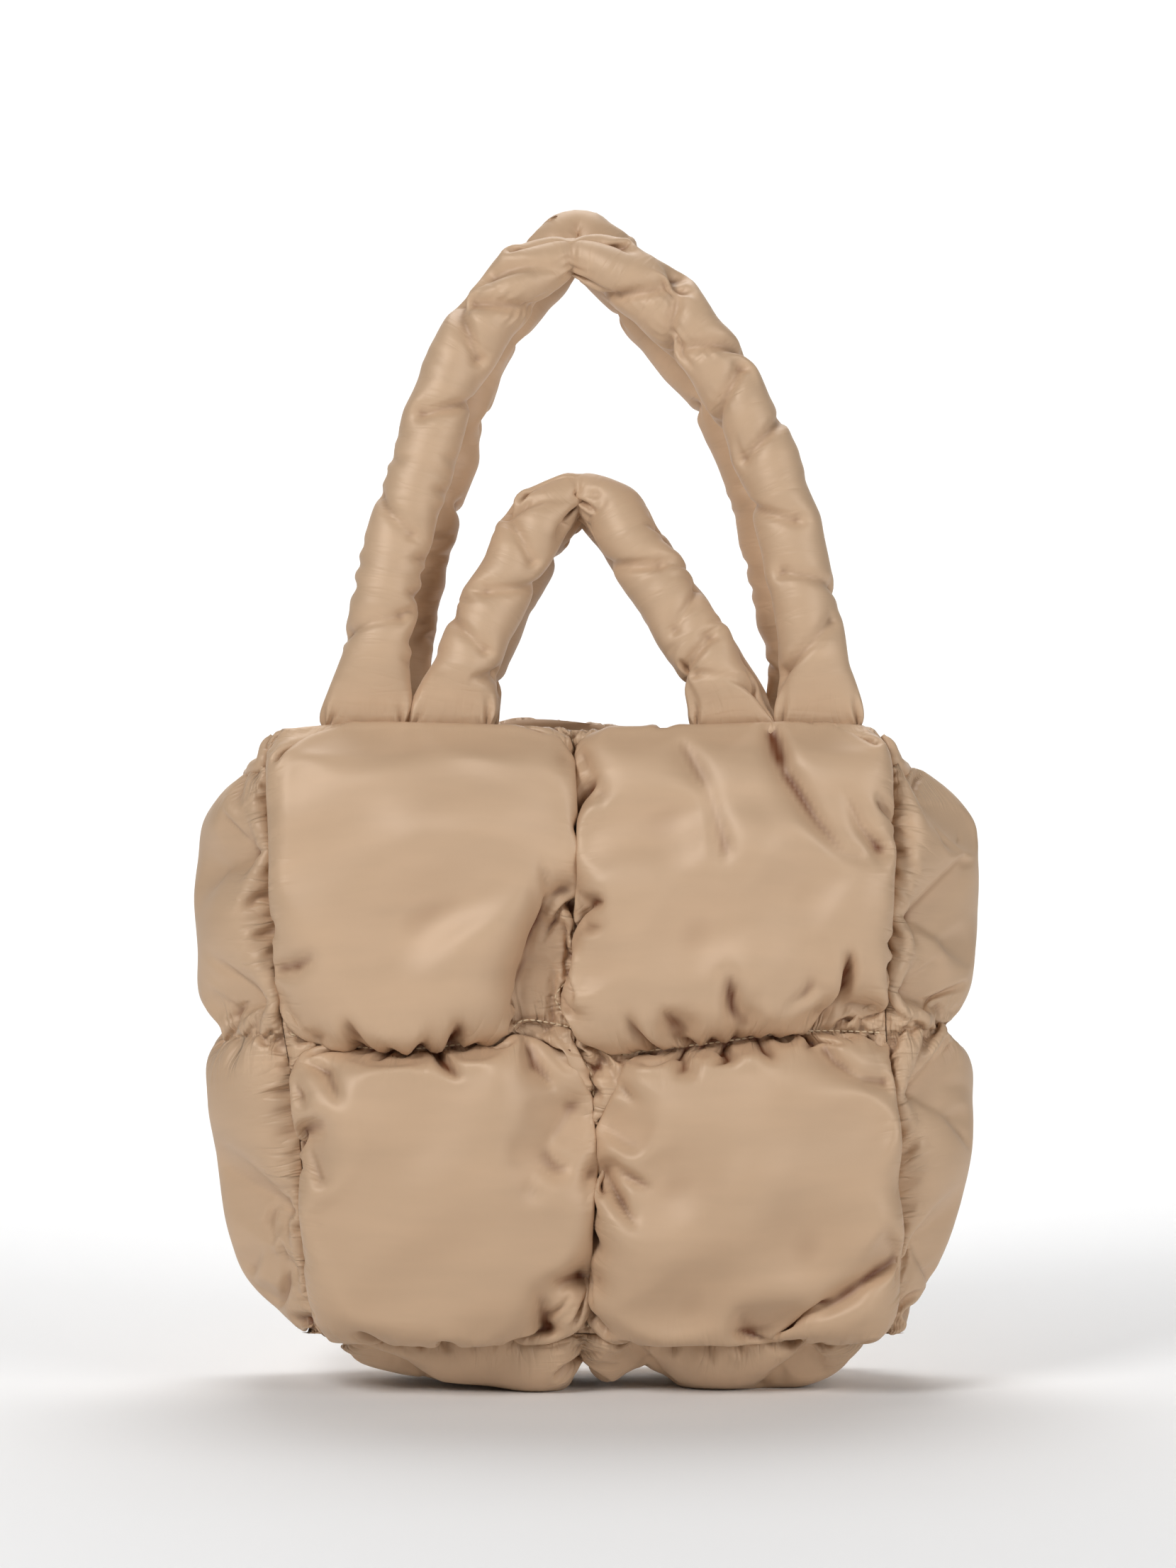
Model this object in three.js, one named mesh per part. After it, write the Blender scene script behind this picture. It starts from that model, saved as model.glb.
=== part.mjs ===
// Quilted puffer handbag: padded front and back panels of four puffs each, a padded gusset in
// three lengths round the sides and bottom, and two long and two short stuffed handles.
// Millimetres, +Z up, front towards -Y. The origin is the middle of the base, on the surface
// that the bag stands on.
import * as THREE from 'three';
import { LoftGeometry } from 'three/addons/geometries/LoftGeometry.js';

const { clamp, lerp, mapLinear, smoothstep } = THREE.MathUtils;

// Driving dimensions
const RIM_Z = 331; // top edge of the front and back panels
const PANEL_BOTTOM_Z = 31; // lower seam of the panels, above the bottom puffs
const GUSSET_TOP_Z = 317; // where the gusset leaves the panel below the rim's corner
const TOP_CORNER_RADIUS = 14;
const BOTTOM_CORNER_RADIUS = 12;
const SEAM_THICKNESS = 4; // sewn edge of a padded wall
const SEAM_GAP = 0.4; // clearance between neighbouring pieces
const PANEL_BOW = 4; // how far a panel's middle stands out from its edges
const INNER_PUFF = 5; // swell of a panel's inner face at the middle of a puff
const CROWN_POWER = 2.4; // higher makes a puff flatter on top and steeper at its seams
const FOLD_FLOOR = 0.4; // share of a puff's height that is left in its deepest fold
const GUSSET_TOP_DIP = 10; // the gusset's top edge hangs between the panel corners
const GUSSET_DIP_REACH = 60; // height over which that hang fades out down the gusset
const FOOT_Z = RIM_Z + SEAM_GAP; // handles are sewn to the rim
const FOOT_SHARE = 0.06; // share of a handle's length that turns upright into its foot
const HANDLE_PEAK_Y = 15; // front and back handles lean together over the mouth
const NARROWING_RISE = 1 / 3; // share of its rise where a narrower handle has come in

// Mesh density
const PUFF_STEPS = 14; // facets across one puff of a panel
const INNER_STEPS = 4; // facets across one puff on a panel's inner face
const SEAM_CLUSTER = 0.6; // 0 spaces the facets evenly, near 1 crowds them at the seams
const GUSSET_OUTER_STEPS = 11;
const GUSSET_INNER_STEPS = 6;
const HANDLE_SIDES = 12;
const LONG_HANDLE_STEPS = 44;
const SHORT_HANDLE_STEPS = 34;

// Side edges of the front panel, at heights above the base
const PANEL_EDGES = [
  { z: 31, left: -134, right: 149 },
  { z: 60, left: -138, right: 153 },
  { z: 100, left: -140, right: 152 },
  { z: 147, left: -144, right: 150 },
  { z: 180, left: -150, right: 147 },
  { z: 235, left: -154, right: 148 },
  { z: 300, left: -157, right: 149 },
  { z: 331, left: -158, right: 147 },
];

// Distance between the front and back seams
const BAG_DEPTH = [
  { z: 31, depth: 88 },
  { z: 90, depth: 98 },
  { z: 180, depth: 96 },
  { z: 260, depth: 90 },
  { z: 306, depth: 80 },
  { z: 331, depth: 74 },
];

// Quilting lines: the upright one wanders in x, the level one in z
const FRONT_UPRIGHT_LINE = [
  { z: 31, x: 0 },
  { z: 95, x: 3 },
  { z: 137, x: 4 },
  { z: 165, x: 0 },
  { z: 194, x: -13 },
  { z: 235, x: -8 },
  { z: 276, x: -5 },
  { z: 331, x: -8 },
];
const FRONT_LEVEL_LINE = [
  { x: -150, z: 180 },
  { x: -122, z: 170 },
  { x: -42, z: 172 },
  { x: -24, z: 184 },
  { x: 0, z: 180 },
  { x: 14, z: 165 },
  { x: 60, z: 172 },
  { x: 112, z: 180 },
  { x: 147, z: 180 },
];
const BACK_UPRIGHT_LINE = [
  { z: 31, x: -4 },
  { z: 180, x: 2 },
  { z: 331, x: 5 },
];
const BACK_LEVEL_LINE = [
  { x: -147, z: 180 },
  { x: -60, z: 173 },
  { x: 70, z: 175 },
  { x: 150, z: 180 },
];

// Height of each puff above its seams, by column and row of the panel
const FRONT_PUFFS = { bottom: [31, 33], top: [33, 32] };
const BACK_PUFFS = { bottom: [32, 31], top: [32, 33] };

// Main folds, each a furrow from one place on the panel to another
const FRONT_FOLDS = [
  { name: 'top left, by the crossing', fromX: -30, fromZ: 240, toX: -50, toZ: 192, depth: 11, width: 13 },
  { name: 'top right, under the short handle', fromX: 45, fromZ: 322, toX: 64, toZ: 272, depth: 5, width: 8 },
  { name: 'top right, under the long handle', fromX: 93, fromZ: 322, toX: 134, toZ: 264, depth: 7, width: 8 },
  { name: 'top right, lower corner', fromX: 108, fromZ: 196, toX: 142, toZ: 186, depth: 9, width: 8 },
  { name: 'bottom left, upper corner', fromX: -142, fromZ: 172, toX: -116, toZ: 140, depth: 8, width: 8 },
  { name: 'bottom left, outer edge', fromX: -134, fromZ: 120, toX: -112, toZ: 88, depth: 5, width: 8 },
  { name: 'bottom right, from the crossing', fromX: 8, fromZ: 168, toX: 34, toZ: 130, depth: 8, width: 7 },
  { name: 'bottom right, lower corner', fromX: 78, fromZ: 34, toX: 150, toZ: 74, depth: 10, width: 9 },
  { name: 'bottom left, lower inner corner', fromX: -30, fromZ: 58, toX: -4, toZ: 44, depth: 9, width: 8 },
];
const BACK_FOLDS = [
  { name: 'top left, by the crossing', fromX: -30, fromZ: 200, toX: -12, toZ: 226, depth: 8, width: 9 },
  { name: 'top right, under the handles', fromX: 88, fromZ: 322, toX: 112, toZ: 276, depth: 6, width: 8 },
  { name: 'bottom right, lower corner', fromX: 96, fromZ: 36, toX: 140, toZ: 66, depth: 8, width: 9 },
];

// How far the side gussets stand out from the panel seams, outside and inside, up the bag
const LEFT_BULGE = [
  { z: 31, outer: 8, inner: 0 },
  { z: 42, outer: 23, inner: 2 },
  { z: 53, outer: 34, inner: 6 },
  { z: 74, outer: 41, inner: 10 },
  { z: 116, outer: 46, inner: 14 },
  { z: 150, outer: 46, inner: 16 },
  { z: 170, outer: 42, inner: 17 },
  { z: 180, outer: 35, inner: 18 },
  { z: 190, outer: 41, inner: 17 },
  { z: 221, outer: 43, inner: 16 },
  { z: 263, outer: 42, inner: 14 },
  { z: 288, outer: 36, inner: 11 },
  { z: 306, outer: 23, inner: 8 },
  { z: 317, outer: 13, inner: 7 },
];
const RIGHT_BULGE = [
  { z: 31, outer: 6, inner: 0 },
  { z: 45, outer: 12, inner: 2 },
  { z: 63, outer: 22, inner: 5 },
  { z: 95, outer: 35, inner: 10 },
  { z: 137, outer: 43, inner: 14 },
  { z: 168, outer: 42, inner: 17 },
  { z: 180, outer: 34, inner: 18 },
  { z: 192, outer: 42, inner: 17 },
  { z: 221, outer: 48, inner: 16 },
  { z: 265, outer: 48, inner: 14 },
  { z: 290, outer: 43, inner: 11 },
  { z: 306, outer: 29, inner: 8 },
  { z: 317, outer: 14, inner: 7 },
];

// Drop of the bottom gusset below the panel seams, along the bag; the floor flattens it
const BOTTOM_BULGE = [
  { x: -122, outer: 9, inner: 0 },
  { x: -104, outer: 24, inner: 2 },
  { x: -76, outer: 36, inner: 3 },
  { x: -30, outer: 38, inner: 3 },
  { x: -10, outer: 34, inner: 3 },
  { x: 0, outer: 20, inner: 3 },
  { x: 11, outer: 33, inner: 3 },
  { x: 30, outer: 30, inner: 3 },
  { x: 56, outer: 36, inner: 3 },
  { x: 100, outer: 38, inner: 3 },
  { x: 118, outer: 30, inner: 2 },
  { x: 137, outer: 7, inner: 0 },
];

// Centre lines of the front handles from the left foot to the right foot
const LONG_ROUTE = [
  { x: -111, z: FOOT_Z },
  { x: -106, z: 362 },
  { x: -97, z: 416 },
  { x: -84, z: 457 },
  { x: -67, z: 510 },
  { x: -48, z: 541 },
  { x: -28, z: 560 },
  { x: -10, z: 566 },
  { x: 10, z: 562 },
  { x: 35, z: 545 },
  { x: 58, z: 513 },
  { x: 82, z: 474 },
  { x: 99, z: 439 },
  { x: 107, z: 400 },
  { x: 113, z: 360 },
  { x: 115, z: FOOT_Z },
];
const SHORT_ROUTE = [
  { x: -69, z: FOOT_Z },
  { x: -59, z: 366 },
  { x: -46, z: 395 },
  { x: -32, z: 422 },
  { x: -20, z: 441 },
  { x: -5, z: 450 },
  { x: 9, z: 443 },
  { x: 20, z: 425 },
  { x: 33, z: 406 },
  { x: 48, z: 382 },
  { x: 63, z: 358 },
  { x: 73, z: FOOT_Z },
];

// Half width and half depth of a stuffed handle along its length, pressed flat at the feet
const HANDLE_SECTIONS = [
  { share: 0, width: 20, depth: 2.2 },
  { share: 0.04, width: 18.5, depth: 6.5 },
  { share: 0.1, width: 16.5, depth: 11.5 },
  { share: 0.2, width: 15.8, depth: 13 },
  { share: 0.42, width: 15, depth: 13.5 },
  { share: 0.5, width: 13, depth: 14 },
  { share: 0.58, width: 15, depth: 13.5 },
  { share: 0.8, width: 15.8, depth: 13 },
  { share: 0.9, width: 16.5, depth: 11.5 },
  { share: 0.96, width: 18.5, depth: 6.5 },
  { share: 1, width: 20, depth: 2.2 },
];
const HANDLE_RIBS = { count: 9, height: 0.9 }; // rings that the slack cloth makes along a handle

const HANDLES = [
  { name: 'front_long_handle', isLong: true, side: -1, spread: 1, lift: 0, shift: 0 },
  { name: 'back_long_handle', isLong: true, side: 1, spread: 0.93, lift: 13, shift: 2 },
  { name: 'front_short_handle', isLong: false, side: -1, spread: 1, lift: 0, shift: 0 },
  { name: 'back_short_handle', isLong: false, side: 1, spread: 0.98, lift: -9, shift: 8 },
];

// Materials: one satin nylon, a shade deeper on the gusset and the handles
const satin = (color) => new THREE.MeshStandardMaterial({ color, roughness: 0.45, metalness: 0 });
const PANEL_SATIN = satin(0xc8ab8a);
const GUSSET_SATIN = satin(0xc4a786);
const HANDLE_SATIN = satin(0xc6a987);

// A column of a table at a place along another column, straight between rows
function lookUp(rows, along, column, at) {
  const last = rows[rows.length - 1];
  if (at <= rows[0][along]) return rows[0][column];
  if (at >= last[along]) return last[column];
  const next = rows.findIndex((row) => row[along] >= at);
  const before = rows[next - 1];
  return mapLinear(at, before[along], rows[next][along], before[column], rows[next][column]);
}

// Places across two puffs from 0 to 1, closer together at the seams
function quiltStations(stepsPerPuff) {
  const stations = [];
  for (let i = 0; i <= 2 * stepsPerPuff; i++) {
    const puff = Math.min(Math.floor(i / stepsPerPuff), 1);
    const share = i / stepsPerPuff - puff;
    const crowded = share - (SEAM_CLUSTER * Math.sin(2 * Math.PI * share)) / (2 * Math.PI);
    stations.push((puff + crowded) / 2);
  }
  return stations;
}

// How far a corner's arc pulls the side edge in at a height
function cornerInset(z) {
  const intoTop = clamp(z - (RIM_Z - TOP_CORNER_RADIUS), 0, TOP_CORNER_RADIUS);
  const intoBottom = clamp(PANEL_BOTTOM_Z + BOTTOM_CORNER_RADIUS - z, 0, BOTTOM_CORNER_RADIUS);
  const top = TOP_CORNER_RADIUS - Math.sqrt(TOP_CORNER_RADIUS ** 2 - intoTop ** 2);
  const bottom = BOTTOM_CORNER_RADIUS - Math.sqrt(BOTTOM_CORNER_RADIUS ** 2 - intoBottom ** 2);
  return top + bottom;
}

// A place on a panel's face: u from its left edge to its right, v from its lower seam to the rim
function panelPlace(panel, u, v) {
  const throughLine = (share, start, middle, end) =>
    share < 0.5 ? lerp(start, middle, 2 * share) : lerp(middle, end, 2 * share - 1);
  const acrossAt = (z) =>
    throughLine(
      u,
      lookUp(panel.edges, 'z', 'left', z) + cornerInset(z),
      lookUp(panel.uprightLine, 'z', 'x', z),
      lookUp(panel.edges, 'z', 'right', z) - cornerInset(z),
    );
  const plainZ = lerp(PANEL_BOTTOM_Z, RIM_Z, v);
  const lineZ = lookUp(panel.levelLine, 'x', 'z', acrossAt(plainZ));
  const z = throughLine(v, PANEL_BOTTOM_Z, lineZ, RIM_Z);
  return { x: acrossAt(z), z };
}

// Rise of a puff's cloth over one puff, 0 at both seams and 1 on top
const crown = (share) => Math.sqrt(1 - Math.abs(2 * share - 1) ** CROWN_POWER);
const crownOfTwo = (share) => crown(share < 0.5 ? 2 * share : 2 * share - 1);

// Depth of the folds at a place, each fading with distance from its line
function foldDepth(folds, x, z) {
  const place = new THREE.Vector3(x, 0, z);
  const nearest = new THREE.Vector3();
  let depth = 0;
  for (const fold of folds) {
    const line = new THREE.Line3(
      new THREE.Vector3(fold.fromX, 0, fold.fromZ),
      new THREE.Vector3(fold.toX, 0, fold.toZ),
    );
    line.closestPointToPoint(place, true, nearest);
    depth += fold.depth * Math.exp(-((nearest.distanceTo(place) / fold.width) ** 2));
  }
  return depth;
}

// A padded panel of four puffs as level rings: along the outer face, then back along the inner
function paddedPanel(panel) {
  const outerStations = quiltStations(PUFF_STEPS);
  const innerStations = quiltStations(INNER_STEPS).reverse();
  const sections = outerStations.map((v) => {
    const heights = v < 0.5 ? panel.puffs.bottom : panel.puffs.top;
    const seamY = (u, z) =>
      -lookUp(BAG_DEPTH, 'z', 'depth', z) / 2 - PANEL_BOW * Math.sin(Math.PI * u) * Math.sin(Math.PI * v);
    const outer = outerStations.map((u) => {
      const { x, z } = panelPlace(panel, u, v);
      const full = heights[u < 0.5 ? 0 : 1] * crownOfTwo(u) * crownOfTwo(v);
      const height = Math.max(full - foldDepth(panel.folds, x, z), full * FOLD_FLOOR);
      return new THREE.Vector3(x, seamY(u, z) - height, z);
    });
    const inner = innerStations.map((u) => {
      const { x, z } = panelPlace(panel, u, v);
      const swell = INNER_PUFF * crownOfTwo(u) * crownOfTwo(v);
      return new THREE.Vector3(x, seamY(u, z) + SEAM_THICKNESS + swell, z);
    });
    return [...outer, ...inner];
  });
  return new LoftGeometry(sections, { capStart: true, capEnd: true });
}

// A padded gusset length along a run of panel edge points, bulging away from the bag's middle
function paddedGusset(run, bulgeAt) {
  const sections = run.map((place, i) => {
    const before = run[Math.max(i - 1, 0)];
    const after = run[Math.min(i + 1, run.length - 1)];
    const outward = new THREE.Vector2(after.z - before.z, before.x - after.x).normalize();
    const halfDepth = lookUp(BAG_DEPTH, 'z', 'depth', place.z) / 2;
    const bulge = bulgeAt(place);
    const dip = GUSSET_TOP_DIP * smoothstep(place.z, GUSSET_TOP_Z - GUSSET_DIP_REACH, GUSSET_TOP_Z);
    const ringPoint = (share, reach, half) => {
      const swing = Math.sin(Math.PI * share);
      const out = SEAM_GAP + reach * swing;
      const z = place.z + outward.y * out - dip * swing;
      return new THREE.Vector3(place.x + outward.x * out, -half * Math.cos(Math.PI * share), Math.max(z, 0));
    };
    const ring = [];
    for (let k = 0; k <= GUSSET_OUTER_STEPS; k++) {
      ring.push(ringPoint(k / GUSSET_OUTER_STEPS, bulge.outer, halfDepth));
    }
    for (let k = GUSSET_INNER_STEPS; k >= 0; k--) {
      ring.push(ringPoint(k / GUSSET_INNER_STEPS, bulge.inner, halfDepth - SEAM_THICKNESS));
    }
    return ring;
  });
  return new LoftGeometry(sections, { capStart: true, capEnd: true });
}

// A stuffed handle: flattened rings along a smooth line, level where the feet meet the rim
function stuffedHandle(handle) {
  const footY = lookUp(BAG_DEPTH, 'z', 'depth', RIM_Z) / 2 - SEAM_THICKNESS / 2;
  const route = handle.isLong ? LONG_ROUTE : SHORT_ROUTE;
  const steps = handle.isLong ? LONG_HANDLE_STEPS : SHORT_HANDLE_STEPS;
  const peakZ = Math.max(...route.map((place) => place.z));
  const points = route.map(({ x, z }) => {
    const rise = (z - FOOT_Z) / (peakZ - FOOT_Z);
    const narrowing = lerp(1, handle.spread, Math.min(rise / NARROWING_RISE, 1));
    const y = handle.side * lerp(footY, HANDLE_PEAK_Y, rise);
    return new THREE.Vector3(x * narrowing + handle.shift * rise, y, z + handle.lift * rise);
  });
  const line = new THREE.CatmullRomCurve3(points, false, 'centripetal');
  const sections = [];
  for (let i = 0; i <= steps; i++) {
    const share = i / steps;
    const centre = line.getPointAt(share);
    const along = line.getTangentAt(share);
    const level = 1 - smoothstep(Math.min(share, 1 - share), 0, FOOT_SHARE);
    const upright = new THREE.Vector3(0, 0, share < 0.5 ? 1 : -1);
    along.lerp(upright, level).normalize();
    const depthWay = new THREE.Vector3(0, 1, 0).addScaledVector(along, -along.y).normalize();
    const widthWay = new THREE.Vector3().crossVectors(depthWay, along);
    const rib = HANDLE_RIBS.height * Math.sin(2 * Math.PI * HANDLE_RIBS.count * share) * (1 - level);
    const width = lookUp(HANDLE_SECTIONS, 'share', 'width', share) + rib;
    const depth = lookUp(HANDLE_SECTIONS, 'share', 'depth', share) + rib;
    const ring = [];
    for (let k = 0; k < HANDLE_SIDES; k++) {
      const angle = (2 * Math.PI * k) / HANDLE_SIDES;
      ring.push(
        centre
          .clone()
          .addScaledVector(widthWay, width * Math.cos(angle))
          .addScaledVector(depthWay, depth * Math.sin(angle)),
      );
    }
    sections.push(ring);
  }
  return new LoftGeometry(sections, { capStart: true, capEnd: true });
}

function namedMesh(name, geometry, material) {
  const mesh = new THREE.Mesh(geometry, material);
  mesh.name = name;
  return mesh;
}

// The front panel, and a back panel that is made facing the same way and turned half round
const front = {
  edges: PANEL_EDGES,
  uprightLine: FRONT_UPRIGHT_LINE,
  levelLine: FRONT_LEVEL_LINE,
  puffs: FRONT_PUFFS,
  folds: FRONT_FOLDS,
};
const back = {
  edges: PANEL_EDGES.map(({ z, left, right }) => ({ z, left: -right, right: -left })),
  uprightLine: BACK_UPRIGHT_LINE,
  levelLine: BACK_LEVEL_LINE,
  puffs: BACK_PUFFS,
  folds: BACK_FOLDS,
};

const bag = new THREE.Group();
bag.name = 'quilted_handbag';

bag.add(namedMesh('front_panel', paddedPanel(front), PANEL_SATIN));
const backPanel = namedMesh('back_panel', paddedPanel(back), PANEL_SATIN);
backPanel.rotation.z = Math.PI;
bag.add(backPanel);

// The gusset follows the same edge points as the panels, so that their seams stay parallel
const stations = quiltStations(PUFF_STEPS);
const sideRun = (u) =>
  stations.map((v) => panelPlace(front, u, v)).filter((place) => place.z <= GUSSET_TOP_Z);
const bulgeUp = (rows) => (place) => ({
  outer: lookUp(rows, 'z', 'outer', place.z),
  inner: lookUp(rows, 'z', 'inner', place.z),
});
const bottomRun = stations.map((u) => panelPlace(front, u, 0));
bottomRun[0].x += SEAM_GAP;
bottomRun[bottomRun.length - 1].x -= SEAM_GAP;
const bulgeAlong = (place) => ({
  outer: lookUp(BOTTOM_BULGE, 'x', 'outer', place.x),
  inner: lookUp(BOTTOM_BULGE, 'x', 'inner', place.x),
});

bag.add(namedMesh('right_gusset', paddedGusset(sideRun(1), bulgeUp(RIGHT_BULGE)), GUSSET_SATIN));
bag.add(namedMesh('left_gusset', paddedGusset(sideRun(0).reverse(), bulgeUp(LEFT_BULGE)), GUSSET_SATIN));
bag.add(namedMesh('bottom_gusset', paddedGusset(bottomRun, bulgeAlong), GUSSET_SATIN));

for (const handle of HANDLES) {
  bag.add(namedMesh(handle.name, stuffedHandle(handle), HANDLE_SATIN));
}

export default bag;
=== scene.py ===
"""A quilted puffer handbag in satin nylon: puffed panels and gussets, stuffed handles, seams and stitches.

Every cloth surface starts as a smooth puffed form on a grid, worked out from tables in millimetres,
and is then settled as cloth: the stuffing pushes it out, its threads keep their length, its seams hold
it down, and the spare cloth gathers. The meshes are in metres in the bag's own frame: +X to the right,
front towards -Y, +Z up, with the origin under the middle of the bag on the surface it stands on.
"""
from dataclasses import dataclass
from typing import Callable

import bpy
import numpy as np
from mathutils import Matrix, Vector


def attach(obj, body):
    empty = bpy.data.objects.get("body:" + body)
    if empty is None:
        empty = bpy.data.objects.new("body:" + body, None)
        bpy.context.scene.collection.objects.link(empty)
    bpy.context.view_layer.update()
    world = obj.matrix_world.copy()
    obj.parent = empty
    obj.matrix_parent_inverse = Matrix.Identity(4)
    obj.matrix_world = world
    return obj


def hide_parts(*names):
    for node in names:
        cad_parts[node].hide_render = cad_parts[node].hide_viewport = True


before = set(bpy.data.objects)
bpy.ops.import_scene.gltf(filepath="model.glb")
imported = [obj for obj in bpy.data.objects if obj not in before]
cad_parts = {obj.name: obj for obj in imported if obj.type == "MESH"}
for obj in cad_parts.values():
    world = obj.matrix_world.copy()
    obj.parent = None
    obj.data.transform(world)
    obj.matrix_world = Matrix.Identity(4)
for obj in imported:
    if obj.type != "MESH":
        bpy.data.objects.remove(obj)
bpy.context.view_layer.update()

MM = 0.001


def table(columns, *rows):
    """Named columns of a short table, a row for each place or section."""
    return dict(zip(columns.split(), np.array(rows, float).T))


def along(rows, at, column, place):
    """A table's column at places along another column, on a smooth curve through the rows.

    Each stretch is a cubic whose slopes at its two rows are taken from the rows on either side.
    """
    xs, ys = rows[at], rows[column]
    slope = np.gradient(ys, xs)
    place = np.clip(place, xs[0], xs[-1])
    i = np.clip(np.searchsorted(xs, place, side="right") - 1, 0, len(xs) - 2)
    step = xs[i + 1] - xs[i]
    t = (place - xs[i]) / step
    start = ys[i] * (1 + 2 * t) * (1 - t) ** 2 + step * slope[i] * t * (1 - t) ** 2
    end = ys[i + 1] * t**2 * (3 - 2 * t) - step * slope[i + 1] * t**2 * (1 - t)
    return start + end


def smooth_step(share):
    """From 0 to 1 with level ends: three squares less two cubes."""
    return share**2 * (3 - 2 * share)


def unit(vectors):
    """Vectors divided by their lengths."""
    return vectors / np.linalg.norm(vectors, axis=-1, keepdims=True)


def distances(line):
    """Distance of each of a line's points from its first one, measured from point to point."""
    return np.concatenate([[0], np.cumsum(np.linalg.norm(np.diff(line, axis=0), axis=1))])


def curve_through(places, steps):
    """A smooth curve through a few places, in even steps of the distance along them, and those distances."""
    far = distances(places)
    route = {"far": far, "x": places[:, 0], "y": places[:, 1], "z": places[:, 2]}
    stations = np.linspace(0, far[-1], steps)
    return np.stack([along(route, "far", axis, stations) for axis in "xyz"], -1), stations


def points_and_ways(line, length, at):
    """A line's points, and its ways onward, at distances along it."""
    onward = np.gradient(line, length, axis=0)
    return [
        np.stack([np.interp(at, length, values[:, axis]) for axis in range(3)], -1)
        for values in (line, onward)
    ]


def circle(sides):
    """Angles of evenly spaced points round a circle."""
    return np.linspace(0, 2 * np.pi, sides, endpoint=False)


# Sizes of the bag in millimetres
RIM_Z = 331.0
PANEL_BOTTOM_Z = 31.0
GUSSET_TOP_Z = 317.0
TOP_CORNER_RADIUS = 14.0
BOTTOM_CORNER_RADIUS = 12.0
SEAM_THICKNESS = 4.0
SEAM_GAP = 0.4
PANEL_BOW = 4.0
INNER_PUFF = 5.0
GUSSET_TOP_DIP = 10.0
GUSSET_DIP_REACH = 60.0
FOOT_Z = RIM_Z + SEAM_GAP
HANDLE_PEAK_Y = 15.0
HANDLE_RADIUS = 15.0

PANEL_EDGES = table(
    "z left right",
    (31, -134, 149),
    (60, -138, 153),
    (100, -140, 152),
    (147, -144, 150),
    (180, -150, 147),
    (235, -154, 148),
    (300, -157, 149),
    (331, -158, 147),
)
BAG_DEPTH = table("z depth", (31, 88), (90, 98), (180, 96), (260, 90), (306, 80), (331, 74))

# Quilting lines of the panels: the upright one wanders in x, the level one in z
FRONT_UPRIGHT = table(
    "z x",
    (31, 0), (95, 3), (116, 4.5), (139, 2.5), (161, 1), (174, -6), (181, -6), (190, -12), (197, -16),
    (207, -10), (235, -7), (276, -5), (331, -8),
)
FRONT_LEVEL = table(
    "x z",
    (-150, 180), (-122, 174), (-60, 175), (-44, 178), (-30, 186), (-16, 185), (-6, 182), (4, 177),
    (13, 170), (25, 171), (60, 175), (112, 181), (147, 180),
)
BACK_UPRIGHT = table("z x", (31, -4), (110, 1), (180, 2), (250, 6), (331, 5))
BACK_LEVEL = table("x z", (-147, 180), (-60, 175), (0, 181), (70, 176), (150, 180))

# Height of the rim between the handles' feet
FRONT_RIM = table(
    "x z",
    (-158, 328), (-133, 331), (-47, 331), (-28, 330.5), (-8, 329.5), (14, 330), (51, 331), (137, 331),
    (147, 330),
)
BACK_RIM = table(
    "x z",
    (-147, 330), (-137, 331), (-26, 331), (-10, 332.5), (10, 335), (26, 336), (40, 335), (52, 331),
    (133, 331), (158, 329),
)


@dataclass
class Crease:
    """A furrow that keeps the cloth down: places (x, z, height over the seam), and how steeply the cloth
    may rise beside it, past half the width of its floor."""

    where: str
    steepness: float
    places: tuple
    floor: float = 0.0


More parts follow.
